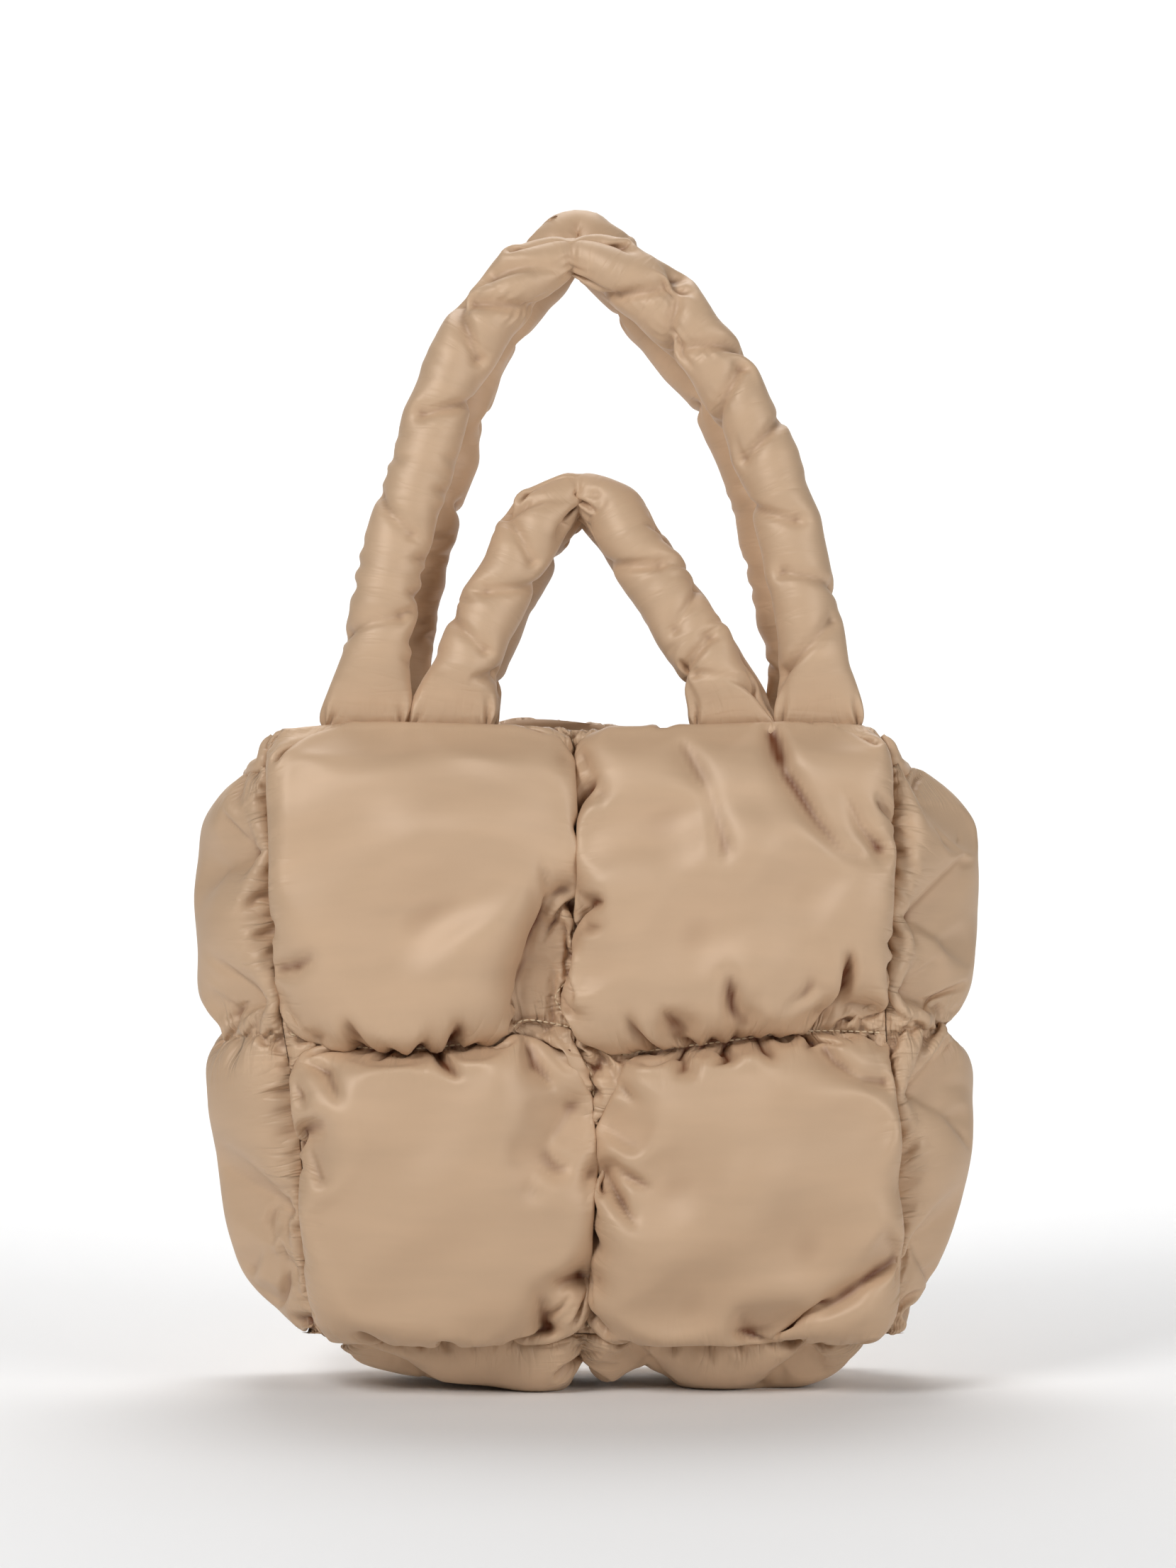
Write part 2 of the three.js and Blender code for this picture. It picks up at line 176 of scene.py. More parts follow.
FRONT_CREASES = (
    Crease(
        "top left, pocket by the crossing", 4.5,
        ((-11, 242, 12), (-19, 226, 5), (-25, 208, 3), (-26, 188, 1)), 9,
    ),
    Crease("top left, fold at the side seam", 1.5, ((-154, 211, 8), (-144, 213, 18), (-135, 219, 27))),
    Crease(
        "top left, lower corner", 2.1,
        ((-155, 200, 4), (-149, 191, 7), (-142, 181, 7), (-133, 175, 4)),
    ),
    Crease("top right, head of the upright line", 1.5, ((-5, 318, 6), (3, 302, 18), (12, 286, 27))),
    Crease("top right, under the short handle", 0.6, ((46, 327, 12), (58, 300, 24), (66, 272, 30))),
    Crease(
        "top right, under the long handle", 1.1,
        ((91, 329, 5), (96, 310, 17), (112, 285, 23), (124, 270, 25), (138, 266, 24)),
    ),
    Crease("top right, beside that fold", 1.1, ((124, 304, 26), (134, 282, 22), (143, 272, 18))),
    Crease(
        "top right, over that pocket", 1.2,
        ((98, 193, 24), (108, 201, 22), (120, 204, 24), (130, 201, 20)),
    ),
    Crease(
        "top right, pocket by the side seam", 3.0,
        ((117, 185, 6), (128, 189, 4), (139, 187, 2), (147, 180, 1)), 5,
    ),
    Crease("top right, lower edge", 0.8, ((77, 184, 14), (81, 196, 27))),
    Crease("bottom left, upper corner", 1.8, ((-146, 171, 5), (-128, 162, 14), (-122, 150, 25))),
    Crease("bottom left, beside that fold", 1.8, ((-149, 165, 5), (-142, 151, 13), (-136, 137, 24))),
    Crease(
        "bottom left, long drape from the crossing", 2.1,
        ((-30, 184, 4), (-26, 165, 12), (-16, 154, 14), (0, 148, 8)),
    ),
    Crease(
        "bottom left, short drape from the crossing", 2.1,
        ((-21, 182, 3), (-16, 168, 11), (-6, 160, 12), (2, 157, 6)),
    ),
    Crease("bottom left, at the side seam", 1.5, ((-140, 130, 6), (-131, 109, 21))),
    Crease("bottom left, foot of the upright line", 1.8, ((-21, 35, 4), (-22, 48, 16), (-26, 60, 27))),
    Crease("bottom left, beside that fold", 1.8, ((-3, 60, 5), (-14, 58, 16), (-23, 63, 27))),
    Crease(
        "bottom left, dent beside the upright line", 0.7,
        ((-2, 140, 8), (-13, 122, 17), (-20, 108, 24)), 6,
    ),
    Crease(
        "bottom right, fold from the crossing", 1.8,
        ((8, 167, 4), (13, 157, 10), (19, 150, 16), (27, 143, 23)),
    ),
    Crease("bottom right, below that fold", 1.5, ((6, 112, 6), (14, 101, 18), (22, 90, 27))),
    Crease("bottom right, upper edge", 1.1, ((46, 175, 8), (54, 158, 25))),
    Crease(
        "bottom right, upper corner", 1.5,
        ((110, 181, 6), (120, 168, 15), (132, 160, 18), (146, 157, 11)),
    ),
    Crease(
        "bottom right, across the lower corner", 1.1,
        ((82, 31, 6), (112, 44, 18), (136, 60, 18), (153, 70, 8)),
    ),
)
BACK_CREASES = (
    Crease("top left, by the crossing", 1.9, ((-8, 214, 14), (-22, 204, 9), (-32, 184, 3))),
    Crease("top right, under the handles", 1.5, ((88, 326, 5), (100, 300, 16), (112, 276, 26))),
    Crease("top left, under the handles", 1.5, ((-92, 326, 5), (-84, 304, 20), (-70, 290, 30))),
    Crease("bottom right, upper corner", 2.1, ((146, 170, 4), (128, 160, 12), (120, 146, 24))),
    Crease("bottom left, upper corner", 2.1, ((-143, 170, 4), (-126, 163, 14), (-118, 150, 26))),
    Crease("bottom right, lower corner", 1.6, ((92, 33, 3), (116, 46, 12), (140, 64, 5))),
)

# Creases of the side gussets at (y, z) and of the bottom at (x, y), with their height over the seam
LEFT_CREASES = (
    Crease("upper, top corner", 0.9, ((-42, 268, 6), (-30, 262, 22), (-12, 258, 38))),
    Crease("lower, fold at the front seam", 1.0, ((-46, 92, 4), (-34, 72, 20), (-18, 60, 28))),
    Crease("lower, tuck at the corner", 1.2, ((-44, 62, 4), (-36, 50, 12), (-22, 44, 18))),
    Crease("upper, tuck at the quilting seam", 1.2, ((-47, 196, 5), (-36, 190, 20), (-24, 187, 34))),
)
RIGHT_CREASES = (
    Crease("upper, fold from the hem", 0.9, ((-34, 312, 4), (-36, 296, 12), (-34, 276, 26))),
    Crease("upper, tuck at the quilting seam", 1.2, ((-46, 200, 5), (-34, 193, 22), (-20, 188, 34))),
    Crease("upper, drape over that tuck", 0.8, ((-45, 236, 8), (-34, 226, 26), (-22, 218, 40))),
    Crease("lower, drape at the front seam", 0.9, ((-48, 150, 6), (-36, 138, 26), (-24, 122, 38))),
    Crease("lower, fold at the corner", 1.0, ((-45, 76, 4), (-36, 62, 12), (-24, 54, 16))),
)
BOTTOM_CREASES = (
    Crease("left, fold at the corner", 1.0, ((-112, -43, 4), (-96, -36, 10), (-82, -24, 20))),
    Crease("right, fold beside the seam", 1.1, ((24, -43, 3), (30, -32, 12), (38, -20, 22))),
    Crease("right, fold at the corner", 1.0, ((108, -43, 4), (96, -34, 16), (88, -22, 26))),
)

# How far the gusset stands out from the panel seams
LEFT_BULGE = table(
    "z outer inner",
    (31, 8, 0), (42, 23, 2), (53, 34, 6), (74, 41, 10), (116, 46, 14), (150, 46, 16), (170, 42, 17),
    (180, 33, 18), (190, 41, 17), (221, 43, 16), (263, 42, 14), (288, 36, 11), (306, 23, 8),
    (317, 11, 7),
)
RIGHT_BULGE = table(
    "z outer inner",
    (31, 6, 0), (45, 12, 2), (63, 22, 5), (95, 35, 10), (137, 43, 14), (168, 42, 17), (180, 32, 18),
    (192, 42, 17), (221, 48, 16), (265, 48, 14), (290, 43, 11), (306, 29, 8), (317, 11, 7),
)
BOTTOM_BULGE = table(
    "x outer inner",
    (-122, 9, 0), (-113, 17, 2), (-98, 23, 2), (-76, 26, 3), (-50, 29, 3), (-22, 32, 3), (-10, 30, 3),
    (-3, 16, 3), (4, 25, 3), (12, 28, 3), (19, 23, 3), (27, 20, 3), (35, 23, 3), (48, 31, 3),
    (70, 34, 3), (95, 34, 3), (112, 29, 3), (125, 21, 2), (137, 6, 0),
)
GUSSET_QUILT_Z = 180.0
BOTTOM_SEAM_X = -3.0

# Centre lines of the handles, and the sections along a handle
FRONT_LONG_ROUTE = table(
    "x z",
    (-111, FOOT_Z), (-106, 362), (-97, 416), (-84, 457), (-67, 510), (-47, 540), (-27, 560), (-12, 567),
    (2, 566), (16, 559), (40, 541), (62, 515), (85, 475), (99, 435), (107, 396), (113, 360),
    (115, FOOT_Z),
)
BACK_LONG_ROUTE = table(
    "x z",
    (-111, FOOT_Z), (-99, 362), (-88, 416), (-76, 457), (-60, 512), (-42, 543), (-23, 564), (-5, 583),
    (9, 570), (22, 553), (37, 536), (58, 513), (79, 475), (92, 435), (101, 396), (110, 360),
    (115, FOOT_Z),
)
FRONT_SHORT_ROUTE = table(
    "x z",
    (-69, FOOT_Z), (-59, 366), (-46, 395), (-32, 422), (-20, 441), (-5, 450), (9, 443), (20, 425),
    (33, 406), (48, 382), (63, 358), (73, FOOT_Z),
)
BACK_SHORT_ROUTE = table(
    "x z",
    (-68, FOOT_Z), (-58, 364), (-46, 391), (-32, 417), (-19, 437), (-4, 446), (11, 440), (25, 421),
    (39, 400), (54, 378), (68, 356), (75, FOOT_Z),
)
HANDLE_SECTIONS = table(
    "share width depth",
    (0, 20, 2.2), (0.04, 18.5, 6.5), (0.1, 16.5, 11.5), (0.2, 15.8, 13), (0.42, 15, 13.5), (0.5, 13, 14),
    (0.58, 15, 13.5), (0.8, 15.8, 13), (0.9, 16.5, 11.5), (0.96, 18.5, 6.5), (1, 20, 2.2),
)
FOOT_SHARE = 0.06

# Creases across the front handles: share of the length, place around in degrees from the loop's inside
# over the back, the outside and the front, slant, half the crease's length, and the radius it leaves
LONG_HANDLE_CREASES = table(
    "share turn slant half radius",
    (0.09, 250, 20, 16, 13.2), (0.19, 240, -30, 16, 13.2), (0.30, 315, 25, 20, 12.6),
    (0.37, 240, -35, 20, 12), (0.41, 300, 30, 22, 11.9), (0.45, 260, 50, 20, 11.3),
    (0.555, 300, -40, 26, 11.3), (0.60, 280, 35, 26, 11.3), (0.645, 240, -30, 20, 11.9),
    (0.69, 300, 30, 20, 12), (0.735, 240, 20, 20, 12.6), (0.80, 320, -30, 18, 12.6),
    (0.87, 245, -20, 16, 13), (0.93, 285, 35, 20, 12.6),
)
SHORT_HANDLE_CREASES = table(
    "share turn slant half radius",
    (0.08, 300, 30, 18, 12.6), (0.16, 240, -25, 16, 13.2), (0.27, 320, 30, 20, 12.8),
    (0.36, 240, -35, 20, 12.8), (0.44, 260, 45, 18, 10.8), (0.47, 300, -60, 18, 10.3),
    (0.55, 280, 20, 18, 12.6), (0.66, 320, -30, 20, 12.6), (0.78, 240, 30, 16, 13),
    (0.88, 320, 25, 20, 12), (0.93, 250, -30, 18, 12.6),
)


# Cloth


@dataclass
class Sheet:
    """A grid of cloth before it settles.

    start holds the smooth puffed form, and its held points are sewn down where they lie. rest holds the
    cloth's own unstrained layout, ease_down and ease_across how much longer its threads are than there,
    and keep the limits that its surroundings set, given and changing the points as a list.
    """

    start: np.ndarray
    rest: np.ndarray
    held: np.ndarray
    ease_down: np.ndarray
    ease_across: np.ndarray
    keep: Callable
    ring: bool = False


@dataclass
class Stuffing:
    """How a piece is filled: the push on its cloth, and its levels from coarse to fine.

    A level gives the grid's steps, the steps of settling, and how firmly threads resist being shortened
    and the cloth resists being bent, from 0 to 1.
    """

    push: float
    levels: tuple


@dataclass
class Level:
    """One grid of a piece: see Stuffing."""

    density: int
    steps: int
    shorten: float
    bend: float


def doubling_levels(coarsest, steps, shorten, bend):
    """Levels from a coarse grid to a fine one, each of twice the density of the one before."""
    return tuple(Level(coarsest * 2**i, *row) for i, row in enumerate(zip(steps, shorten, bend)))


STRETCH = 1.0
BIAS_STRETCH, BIAS_SHORTEN = 0.1, 0.05
DRAG = 0.9
START_UNEVENNESS = 1.2
WAVE_COUNT = 48
WAVE_RATES = (0.6, 1.4)
TINY = 1e-6


def linked(rows, cols, down, across, ring):
    """Pairs of grid points that lie (down, across) apart, in two batches where no point comes twice."""
    index = np.arange(rows * cols).reshape(rows, cols)
    first = index[: rows - down]
    second = np.roll(index, -across, axis=1)[down:]
    if not ring:
        inside = slice(max(-across, 0), cols - max(across, 0))
        first, second = first[:, inside], second[:, inside]
    stripe = first // cols // down if down else first % cols // across
    return [(first[stripe % 2 == half], second[stripe % 2 == half]) for half in (0, 1)]


def sheet_links(sheet, level):
    """The sheet's threads, diagonals and bends: point pairs, rest lengths, shares of the move, firmness."""
    rows, cols = sheet.held.shape
    rest = sheet.rest.reshape(-1, 3)
    free = (~sheet.held).ravel().astype(np.float32)
    down_ease, across_ease = sheet.ease_down.ravel(), sheet.ease_across.ravel()
    kinds = (
        ((STRETCH, level.shorten), ((0, 1), (1, 0))),
        ((BIAS_STRETCH, BIAS_SHORTEN), ((1, 1), (1, -1))),
        ((0.0, level.bend), ((0, 2), (2, 0))),
    )
    links = []
    for firmness, offsets in kinds:
        for down, across in offsets:
            ease = (down_ease * (down > 0) + across_ease * (across != 0)) / ((down > 0) + (across != 0))
            for a, b in linked(rows, cols, down, across, sheet.ring):
                moving = free[a] + free[b] > 0
                a, b = a[moving], b[moving]
                share = (free[a] / (free[a] + free[b]))[:, None]
                length = np.linalg.norm(rest[a] - rest[b], axis=1) * (ease[a] + ease[b]) / 2
                links.append((a, b, length.astype(np.float32), share, 1 - share, *firmness))
    return links


def push_ways(points, ring):
    """Outward area at each grid point: the cross product of the steps across and down the grid."""
    across = np.roll(points, -1, 1) - np.roll(points, 1, 1) if ring else 2 * np.gradient(points, axis=1)
    return np.cross(across, 2 * np.gradient(points, axis=0)).reshape(-1, 3) / 4


def settle(points, sheet, level, push):
    """Settles a sheet by position-based dynamics.

    In each step every free point coasts, is pushed along its outward area, and is then moved so that each
    link in turn comes back towards its rest length, more firmly against stretch than against squeeze.
    """
    rows, cols, _ = points.shape
    links = sheet_links(sheet, level)
    free = (~sheet.held).reshape(-1, 1).astype(np.float32)
    now = points.reshape(-1, 3).astype(np.float32)
    before = now.copy()
    cell = np.median(links[0][2]) * np.median(links[2][2])
    for _ in range(level.steps):
        coast = (now - before) * DRAG
        before = now.copy()
        now += free * (coast + push / cell * push_ways(now.reshape(rows, cols, 3), sheet.ring))
        for a, b, length, share_a, share_b, stretch, squeeze in links:
            start, end = now[a], now[b]
            gap = end - start
            strain = 1 - length / np.maximum(np.sqrt(np.einsum("ij,ij->i", gap, gap)), TINY)
            gap *= (strain * np.where(strain > 0, stretch, squeeze))[:, None]
            now[a] = start + gap * share_a
            now[b] = end - gap * share_b
        sheet.keep(now)
    return now.reshape(rows, cols, 3).astype(float)


def doubled(grid, axis, ring):
    """A grid with a point added between each two along one axis, on the cubic through four neighbours."""
    grid = np.moveaxis(grid, axis, 0)
    if ring:
        padded = np.concatenate([grid[-1:], grid, grid[:2]])
    else:
        padded = np.concatenate([2 * grid[:1] - grid[1:2], grid, 2 * grid[-1:] - grid[-2:-1]])
    between = (9 * (padded[1:-2] + padded[2:-1]) - padded[:-3] - padded[3:]) / 16
    fine = np.empty((len(grid) + len(between), *grid.shape[1:]))
    fine[0::2] = grid
    fine[1::2] = between
    return np.moveaxis(fine, 0, axis)


def settled(make_sheet, stuffing, seed):
    """Settles a piece from a coarse grid to a fine one: each level starts from the one before, doubled.

    make_sheet gives the sheet at a density. The first level starts with a little seeded unevenness, so
    that the gathers have something to grow from. The points come back with the folds made crisp.
    """
    coarsest = stuffing.levels[0].density
    points = None
    for level in stuffing.levels:
        sheet = make_sheet(level.density)
        if points is None:
            rng = np.random.default_rng(seed)
            points = sheet.start + rng.normal(0, START_UNEVENNESS, sheet.start.shape)
        else:
            points = doubled(doubled(points, 0, False), 1, sheet.ring)
        points[sheet.held] = sheet.start[sheet.held]
        points = settle(points, sheet, level, stuffing.push * (coarsest / level.density) ** 2)
    return crisp(points, sheet.held, sheet.ring)


def unevenness(seed, x, z, size):
    """Smooth random values of about unit spread: many sine waves of about one size, in all directions."""
    rng = np.random.default_rng(seed)
    turn = rng.uniform(0, 2 * np.pi, WAVE_COUNT)
    rate = 2 * np.pi / size * rng.uniform(*WAVE_RATES, WAVE_COUNT)
    phase = rng.uniform(0, 2 * np.pi, WAVE_COUNT)
    places = x[..., None] * np.cos(turn) + z[..., None] * np.sin(turn)
    return np.sin(places * rate + phase).sum(-1) / np.sqrt(WAVE_COUNT / 2)


ROOF_YIELD = 0.5
CREASE_ROUND = 2.0
LAST_CELL = 1.001
PANEL_RASTER = (-180, 180, 20, 345)
SIDE_RASTER = (-50, 50, 10, 330)
BOTTOM_RASTER = (-140, 155, -50, 50)


def rounded(away):
    """Distance from a crease with a round bottom: from a parabola near it to a straight line farther off."""
    return np.hypot(away, CREASE_ROUND) - CREASE_ROUND


def raster(a_low, a_high, b_low, b_high):
    """Places of a 1 mm raster between limits in two directions."""
    return np.meshgrid(np.arange(a_low, a_high + 1.0), np.arange(b_low, b_high + 1.0))


class Roof:
    """The greatest height of a piece's cloth over its seams, on a 1 mm raster of two of its directions.

    It starts from the given heights. Over each crease it is no more than the crease's own height plus its
    steepness times the distance from its floor.
    """

    def __init__(self, a, b, height, creases):
        self.start_a, self.start_b = a[0, 0], b[0, 0]
        self.height = height
        for crease in creases:
            for (a0, b0, h0), (a1, b1, h1) in zip(crease.places[:-1], crease.places[1:]):
                run_a, run_b = a1 - a0, b1 - b0
                share = np.clip(((a - a0) * run_a + (b - b0) * run_b) / (run_a**2 + run_b**2), 0, 1)
                away = np.hypot(a - a0 - share * run_a, b - b0 - share * run_b)
                bank = crease.steepness * rounded(np.maximum(away - crease.floor, 0))
                self.height = np.minimum(self.height, h0 + share * (h1 - h0) + bank)

    def over(self, a, b):
        """The roof's height over each place, from the four raster points around it."""
        rows, columns = self.height.shape
        a = np.clip(a - self.start_a, 0, columns - LAST_CELL)
        b = np.clip(b - self.start_b, 0, rows - LAST_CELL)
        column, row = a.astype(int), b.astype(int)
        a, b = a - column, b - row
        low = self.height[row, column] * (1 - a) + self.height[row, column + 1] * a
        high = self.height[row + 1, column] * (1 - a) + self.height[row + 1, column + 1] * a
        return low * (1 - b) + high * b

    def excess(self, a, b, height):
        """How far to bring each point back in one step: a share of its height above the roof."""
        return ROOF_YIELD * np.maximum(height - self.over(a, b), 0)


# Meshes

# Hollows in the cloth, which set how much painted shade the cloth's colour takes: steps to the points
# around, and the depths where a hollow starts and is full
SHADED_HOLLOWS = ((3, 0.5, 3.0), (9, 2.0, 12.0), (18, 4.0, 18.0))

# How far the finest gathers, which are in the cloth's finish, reach from a seam, and their share on tubes
FINE_GATHER_REACH = 32.0
TUBE_FINE_GATHERS = 0.1
FOOT_FINE_GATHERS = 0.3

# How far off the points are that a fold is sharpened against, in grid steps, and how much
CRISP_REACH = 3
CRISP_SHARE = 1.2


def grid_faces(rows, cols, ring=False):
    """Four-sided faces of a grid of points, as point numbers and as (row, column) places."""
    wide = cols if ring else cols - 1
    r, c = np.meshgrid(np.arange(rows - 1), np.arange(wide), indexing="ij")
    corners = [np.stack([r + down, c + over], -1) for down, over in ((0, 0), (0, 1), (1, 1), (1, 0))]
    places = np.stack(corners, 2).reshape(-1, 4, 2)
    return places[..., 0] * cols + places[..., 1] % cols, places


def end_faces(rows, cols):
    """The faces that close the first and the last ring of a tube, as point numbers."""
    ring = np.arange(cols)
    return np.stack([ring[::-1], ring + (rows - 1) * cols])


def local_mean(grid, reach, ring):
    """Mean of a grid's points over a square of reach steps each way, by differences of running sums."""
    for axis, wraps in ((0, False), (1, ring)):
        around = [(0, 0)] * 3
        around[axis] = (reach + 1, reach)
        run = np.cumsum(np.pad(grid, around, mode="wrap" if wraps else "edge"), axis=axis)
        wide = 2 * reach + 1
        run = np.moveaxis(run, axis, 0)
        grid = np.moveaxis((run[wide:] - run[:-wide]) / wide, 0, axis)
    return grid


def hollows(grid, ring=False):
    """How far each point lies in a hollow, from 0 to 1, for painted shade: its depths below the means around
    it, added up.
    """
    out = push_ways(grid, ring).reshape(grid.shape)
    out /= np.maximum(np.linalg.norm(out, axis=2, keepdims=True), TINY)
    depth = np.zeros(grid.shape[:2])
    for reach, shallow, deep in SHADED_HOLLOWS:
        below = ((local_mean(grid, reach, ring) - grid) * out).sum(-1)
        depth += np.clip((below - shallow) / (deep - shallow), 0, 1)
    return np.minimum(depth, 1).ravel()


def crisp(grid, held, ring):
    """Sharpens a grid's folds.

    Points that are not sewn are evened out over one step, then moved away from the mean over more steps.
    """
    free = ~held[..., None]
    grid = np.where(free, local_mean(grid, 1, ring), grid)
    return np.where(free, grid + CRISP_SHARE * (grid - local_mean(grid, CRISP_REACH, ring)), grid)


def beside_seams(layout, sewn_rows, sewn_columns):
    """How near each point of a grid is to its sewn columns and to its sewn rows, from 0 to 1 at the seam."""
    nearness = []
    for axis, seams in ((0, layout[:, sewn_columns, 0][:, None]), (1, layout[sewn_rows, :, 1].T[None])):
        away = np.abs(layout[..., axis, None] - seams).min(-1)
        nearness.append(np.clip(1 - away / FINE_GATHER_REACH, 0, 1) ** 2)
    return np.stack(nearness, -1).reshape(-1, 2)


def new_piece(name, points, faces, uvs, material, folds=None):
    """An object at the origin from points in millimetres, lists of faces and UVs for each face corner.

    folds gives the first points' depths in the hollows, which set the painted shade in their colour, and
    their nearness to seams along and across the grid's rows, and the others have none.
    """
    mesh = bpy.data.meshes.new(name)
    face_list = [face for batch in faces for face in batch.tolist()]
    mesh.from_pydata((np.asarray(points) * MM).tolist(), [], face_list)
    layer = mesh.uv_layers.new(name="cloth")
    corners = np.concatenate([batch.reshape(-1, 2) for batch in uvs]) * MM
    layer.data.foreach_set("uv", corners.astype(np.float32).ravel())
    mesh.polygons.foreach_set("use_smooth", np.ones(len(mesh.polygons), bool))
    mesh.materials.append(material)
    values = np.zeros((len(mesh.vertices), 3), np.float32)
    if folds is not None:
        values[: len(folds)] = folds
    mesh.attributes.new("folds", "FLOAT_VECTOR", "POINT").data.foreach_set("vector", values.ravel())
    piece = bpy.data.objects.new(name, mesh)
    bpy.context.scene.collection.objects.link(piece)
    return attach(piece, "root")


def border(rows, cols, step=1):
    """Point numbers round the edge of a grid, from its first corner along its first row and on round."""
    index = np.arange(rows * cols).reshape(rows, cols)
    return np.concatenate([index[0, :-1:step], index[:-1:step, -1], index[-1, :0:-step], index[:0:-step, 0]])


def padded_shell(name, outer, inner, layout, sewn_columns, material):
    """A closed padded wall from a fine outer grid and a coarse inner one, joined round their edges.

    layout is the outer grid's flat (across, down) layout, which gives the UVs of both faces. The grid is
    sewn along its first, middle and last rows and along the given columns.
    """
    rows, cols, _ = outer.shape
    inner_rows, inner_cols, _ = inner.shape
    coarse = (rows - 1) // (inner_rows - 1)
    flat = layout.reshape(-1, 2)
    inner_flat = layout[::coarse, ::coarse].reshape(-1, 2)
    outer_faces, _ = grid_faces(rows, cols)
    inner_faces, _ = grid_faces(inner_rows, inner_cols)
    inner_faces = inner_faces[:, ::-1]
    edge, inner_edge = border(rows, cols), border(inner_rows, inner_cols)
    count = len(inner_edge)
    runs = (np.arange(count)[:, None] * coarse + np.arange(coarse + 1)[None, ::-1]) % len(edge)
    pair = np.stack([np.arange(count), (np.arange(count) + 1) % count], 1)
    hem = np.concatenate([edge[runs], inner_edge[pair] + rows * cols], 1)
    hem_uv = np.concatenate([flat[edge[runs]], inner_flat[inner_edge[pair]]], 1)
    return new_piece(
        name,
        np.concatenate([outer.reshape(-1, 3), inner.reshape(-1, 3)]),
        [outer_faces, inner_faces + rows * cols, hem],
        [flat[outer_faces], inner_flat[inner_faces], hem_uv],
        material,
        # Depth in the hollows, which sets the painted shade, and nearness to the seams
        np.column_stack([hollows(outer), beside_seams(layout, [0, rows // 2, -1], sewn_columns)]),
    )


def tube(name, rings, girth, lengths, material):
    """A closed tube from rings of points, with flat ends; girth and lengths in millimetres give its UVs."""
    rows, cols, _ = rings.shape
    faces, places = grid_faces(rows, cols, ring=True)
    uv = np.stack([places[..., 1] * girth / cols, lengths[places[..., 0]]], -1)
    round_uv = girth / (2 * np.pi) * np.stack([np.cos(circle(cols)), np.sin(circle(cols))], -1)
    end_uv = np.stack([round_uv, round_uv])
    to_end = np.repeat(np.minimum(lengths, lengths[-1] - lengths), cols)
    at_foot = FOOT_FINE_GATHERS * np.clip(1 - to_end / FINE_GATHER_REACH, 0, 1) ** 2
    # Depth in the hollows, which sets the painted shade, and the shares of fine gathers round the tube and
    # at its feet
    folds = np.column_stack([hollows(rings, ring=True), np.full_like(at_foot, TUBE_FINE_GATHERS), at_foot])
    all_faces = [faces, end_faces(rows, cols)]
    return new_piece(name, rings.reshape(-1, 3), all_faces, [uv, end_uv], material, folds)


# Panels


@dataclass
class Panel:
    """One quilted face of the bag, described as if it were the front, and turned round for the back."""

    name: str
    edges: dict
    upright: dict
    level: dict
    rim: dict
    creases: tuple
    seed: int
    turned: bool


def mirrored(edges):
    """Side edges with left and right changed over, for the panel that is made facing front and turned."""
    return {"z": edges["z"], "left": -edges["right"], "right": -edges["left"]}


FRONT = Panel("front_panel", PANEL_EDGES, FRONT_UPRIGHT, FRONT_LEVEL, FRONT_RIM, FRONT_CREASES, 3, False)
BACK = Panel("back_panel", mirrored(PANEL_EDGES), BACK_UPRIGHT, BACK_LEVEL, BACK_RIM, BACK_CREASES, 11, True)

PANEL_STUFFING = Stuffing(
    push=0.3,
    levels=doubling_levels(
        14, steps=(160, 160, 160, 140), shorten=(0.9, 0.9, 0.8, 0.7), bend=(0.2, 0.3, 0.3, 0.3)
    ),
)
PUFF_HEIGHT = 25.0
PUFF_DOME = 6.0
PUFF_START = 24.0
SHOULDER_HEIGHT = 8.0
SHOULDER_SLOPE = 1.0
SOFT_DENT = 2.2
SOFT_DENT_SIZE = 75.0
RIM_OVERHANG = 0.5
BOTTOM_OVERHANG = 4.0
CROWN_POWER = 2.4
SEAM_CROWDING = 0.35
PANEL_EASE_AT_SEAM = 1.36
PANEL_EASE_IN_MIDDLE = 1.28
CREASE_SPARE = 0.3
CORNER_SPARE = 0.8
CORNER_REACH = 16.0
EASE_UNEVENNESS = 0.12
UNEVENNESS_SIZE = 40.0
MIDDLE_CALM = 0.85
SIDE_CALM = 0.5
SIDE_CALM_REACH = 30.0
OVERHANG = 0.35
SIDE_OVERHANG = 0.1
SEAM_CLEARANCE = 0.15
INNER_COARSENESS = 8
LIMIT_STEPS = 200
LIMIT_X = 165.0


def quilt_stations(steps):
    """Places across two puffs from 0 to 1, crowded together a little at the seams."""
    i = np.arange(2 * steps + 1)
    puff = np.minimum(i // steps, 1)
    share = i / steps - puff
    return (puff + share - SEAM_CROWDING * np.sin(2 * np.pi * share) / (2 * np.pi)) / 2


def crown(share, power=CROWN_POWER):
    """Rise over two puffs side by side: 0 at each seam, 1 on top, with upright sides."""
    share = np.where(share < 0.5, 2 * share, 2 * share - 1)
    return np.sqrt(np.maximum(1 - np.abs(2 * share - 1) ** power, 0))


def corner_inset(z):
    """How far the corners' arcs pull the side edge in at a height."""
    top = np.clip(z - (RIM_Z - TOP_CORNER_RADIUS), 0, TOP_CORNER_RADIUS)
    bottom = np.clip(PANEL_BOTTOM_Z + BOTTOM_CORNER_RADIUS - z, 0, BOTTOM_CORNER_RADIUS)
    top_inset = TOP_CORNER_RADIUS - np.sqrt(TOP_CORNER_RADIUS**2 - top**2)
    return top_inset + BOTTOM_CORNER_RADIUS - np.sqrt(BOTTOM_CORNER_RADIUS**2 - bottom**2)


def through_line(share, start, middle, end):
    """From start through middle, at the half, to end."""
    first = start + (middle - start) * 2 * share
    second = middle + (end - middle) * (2 * share - 1)
    return np.where(share < 0.5, first, second)


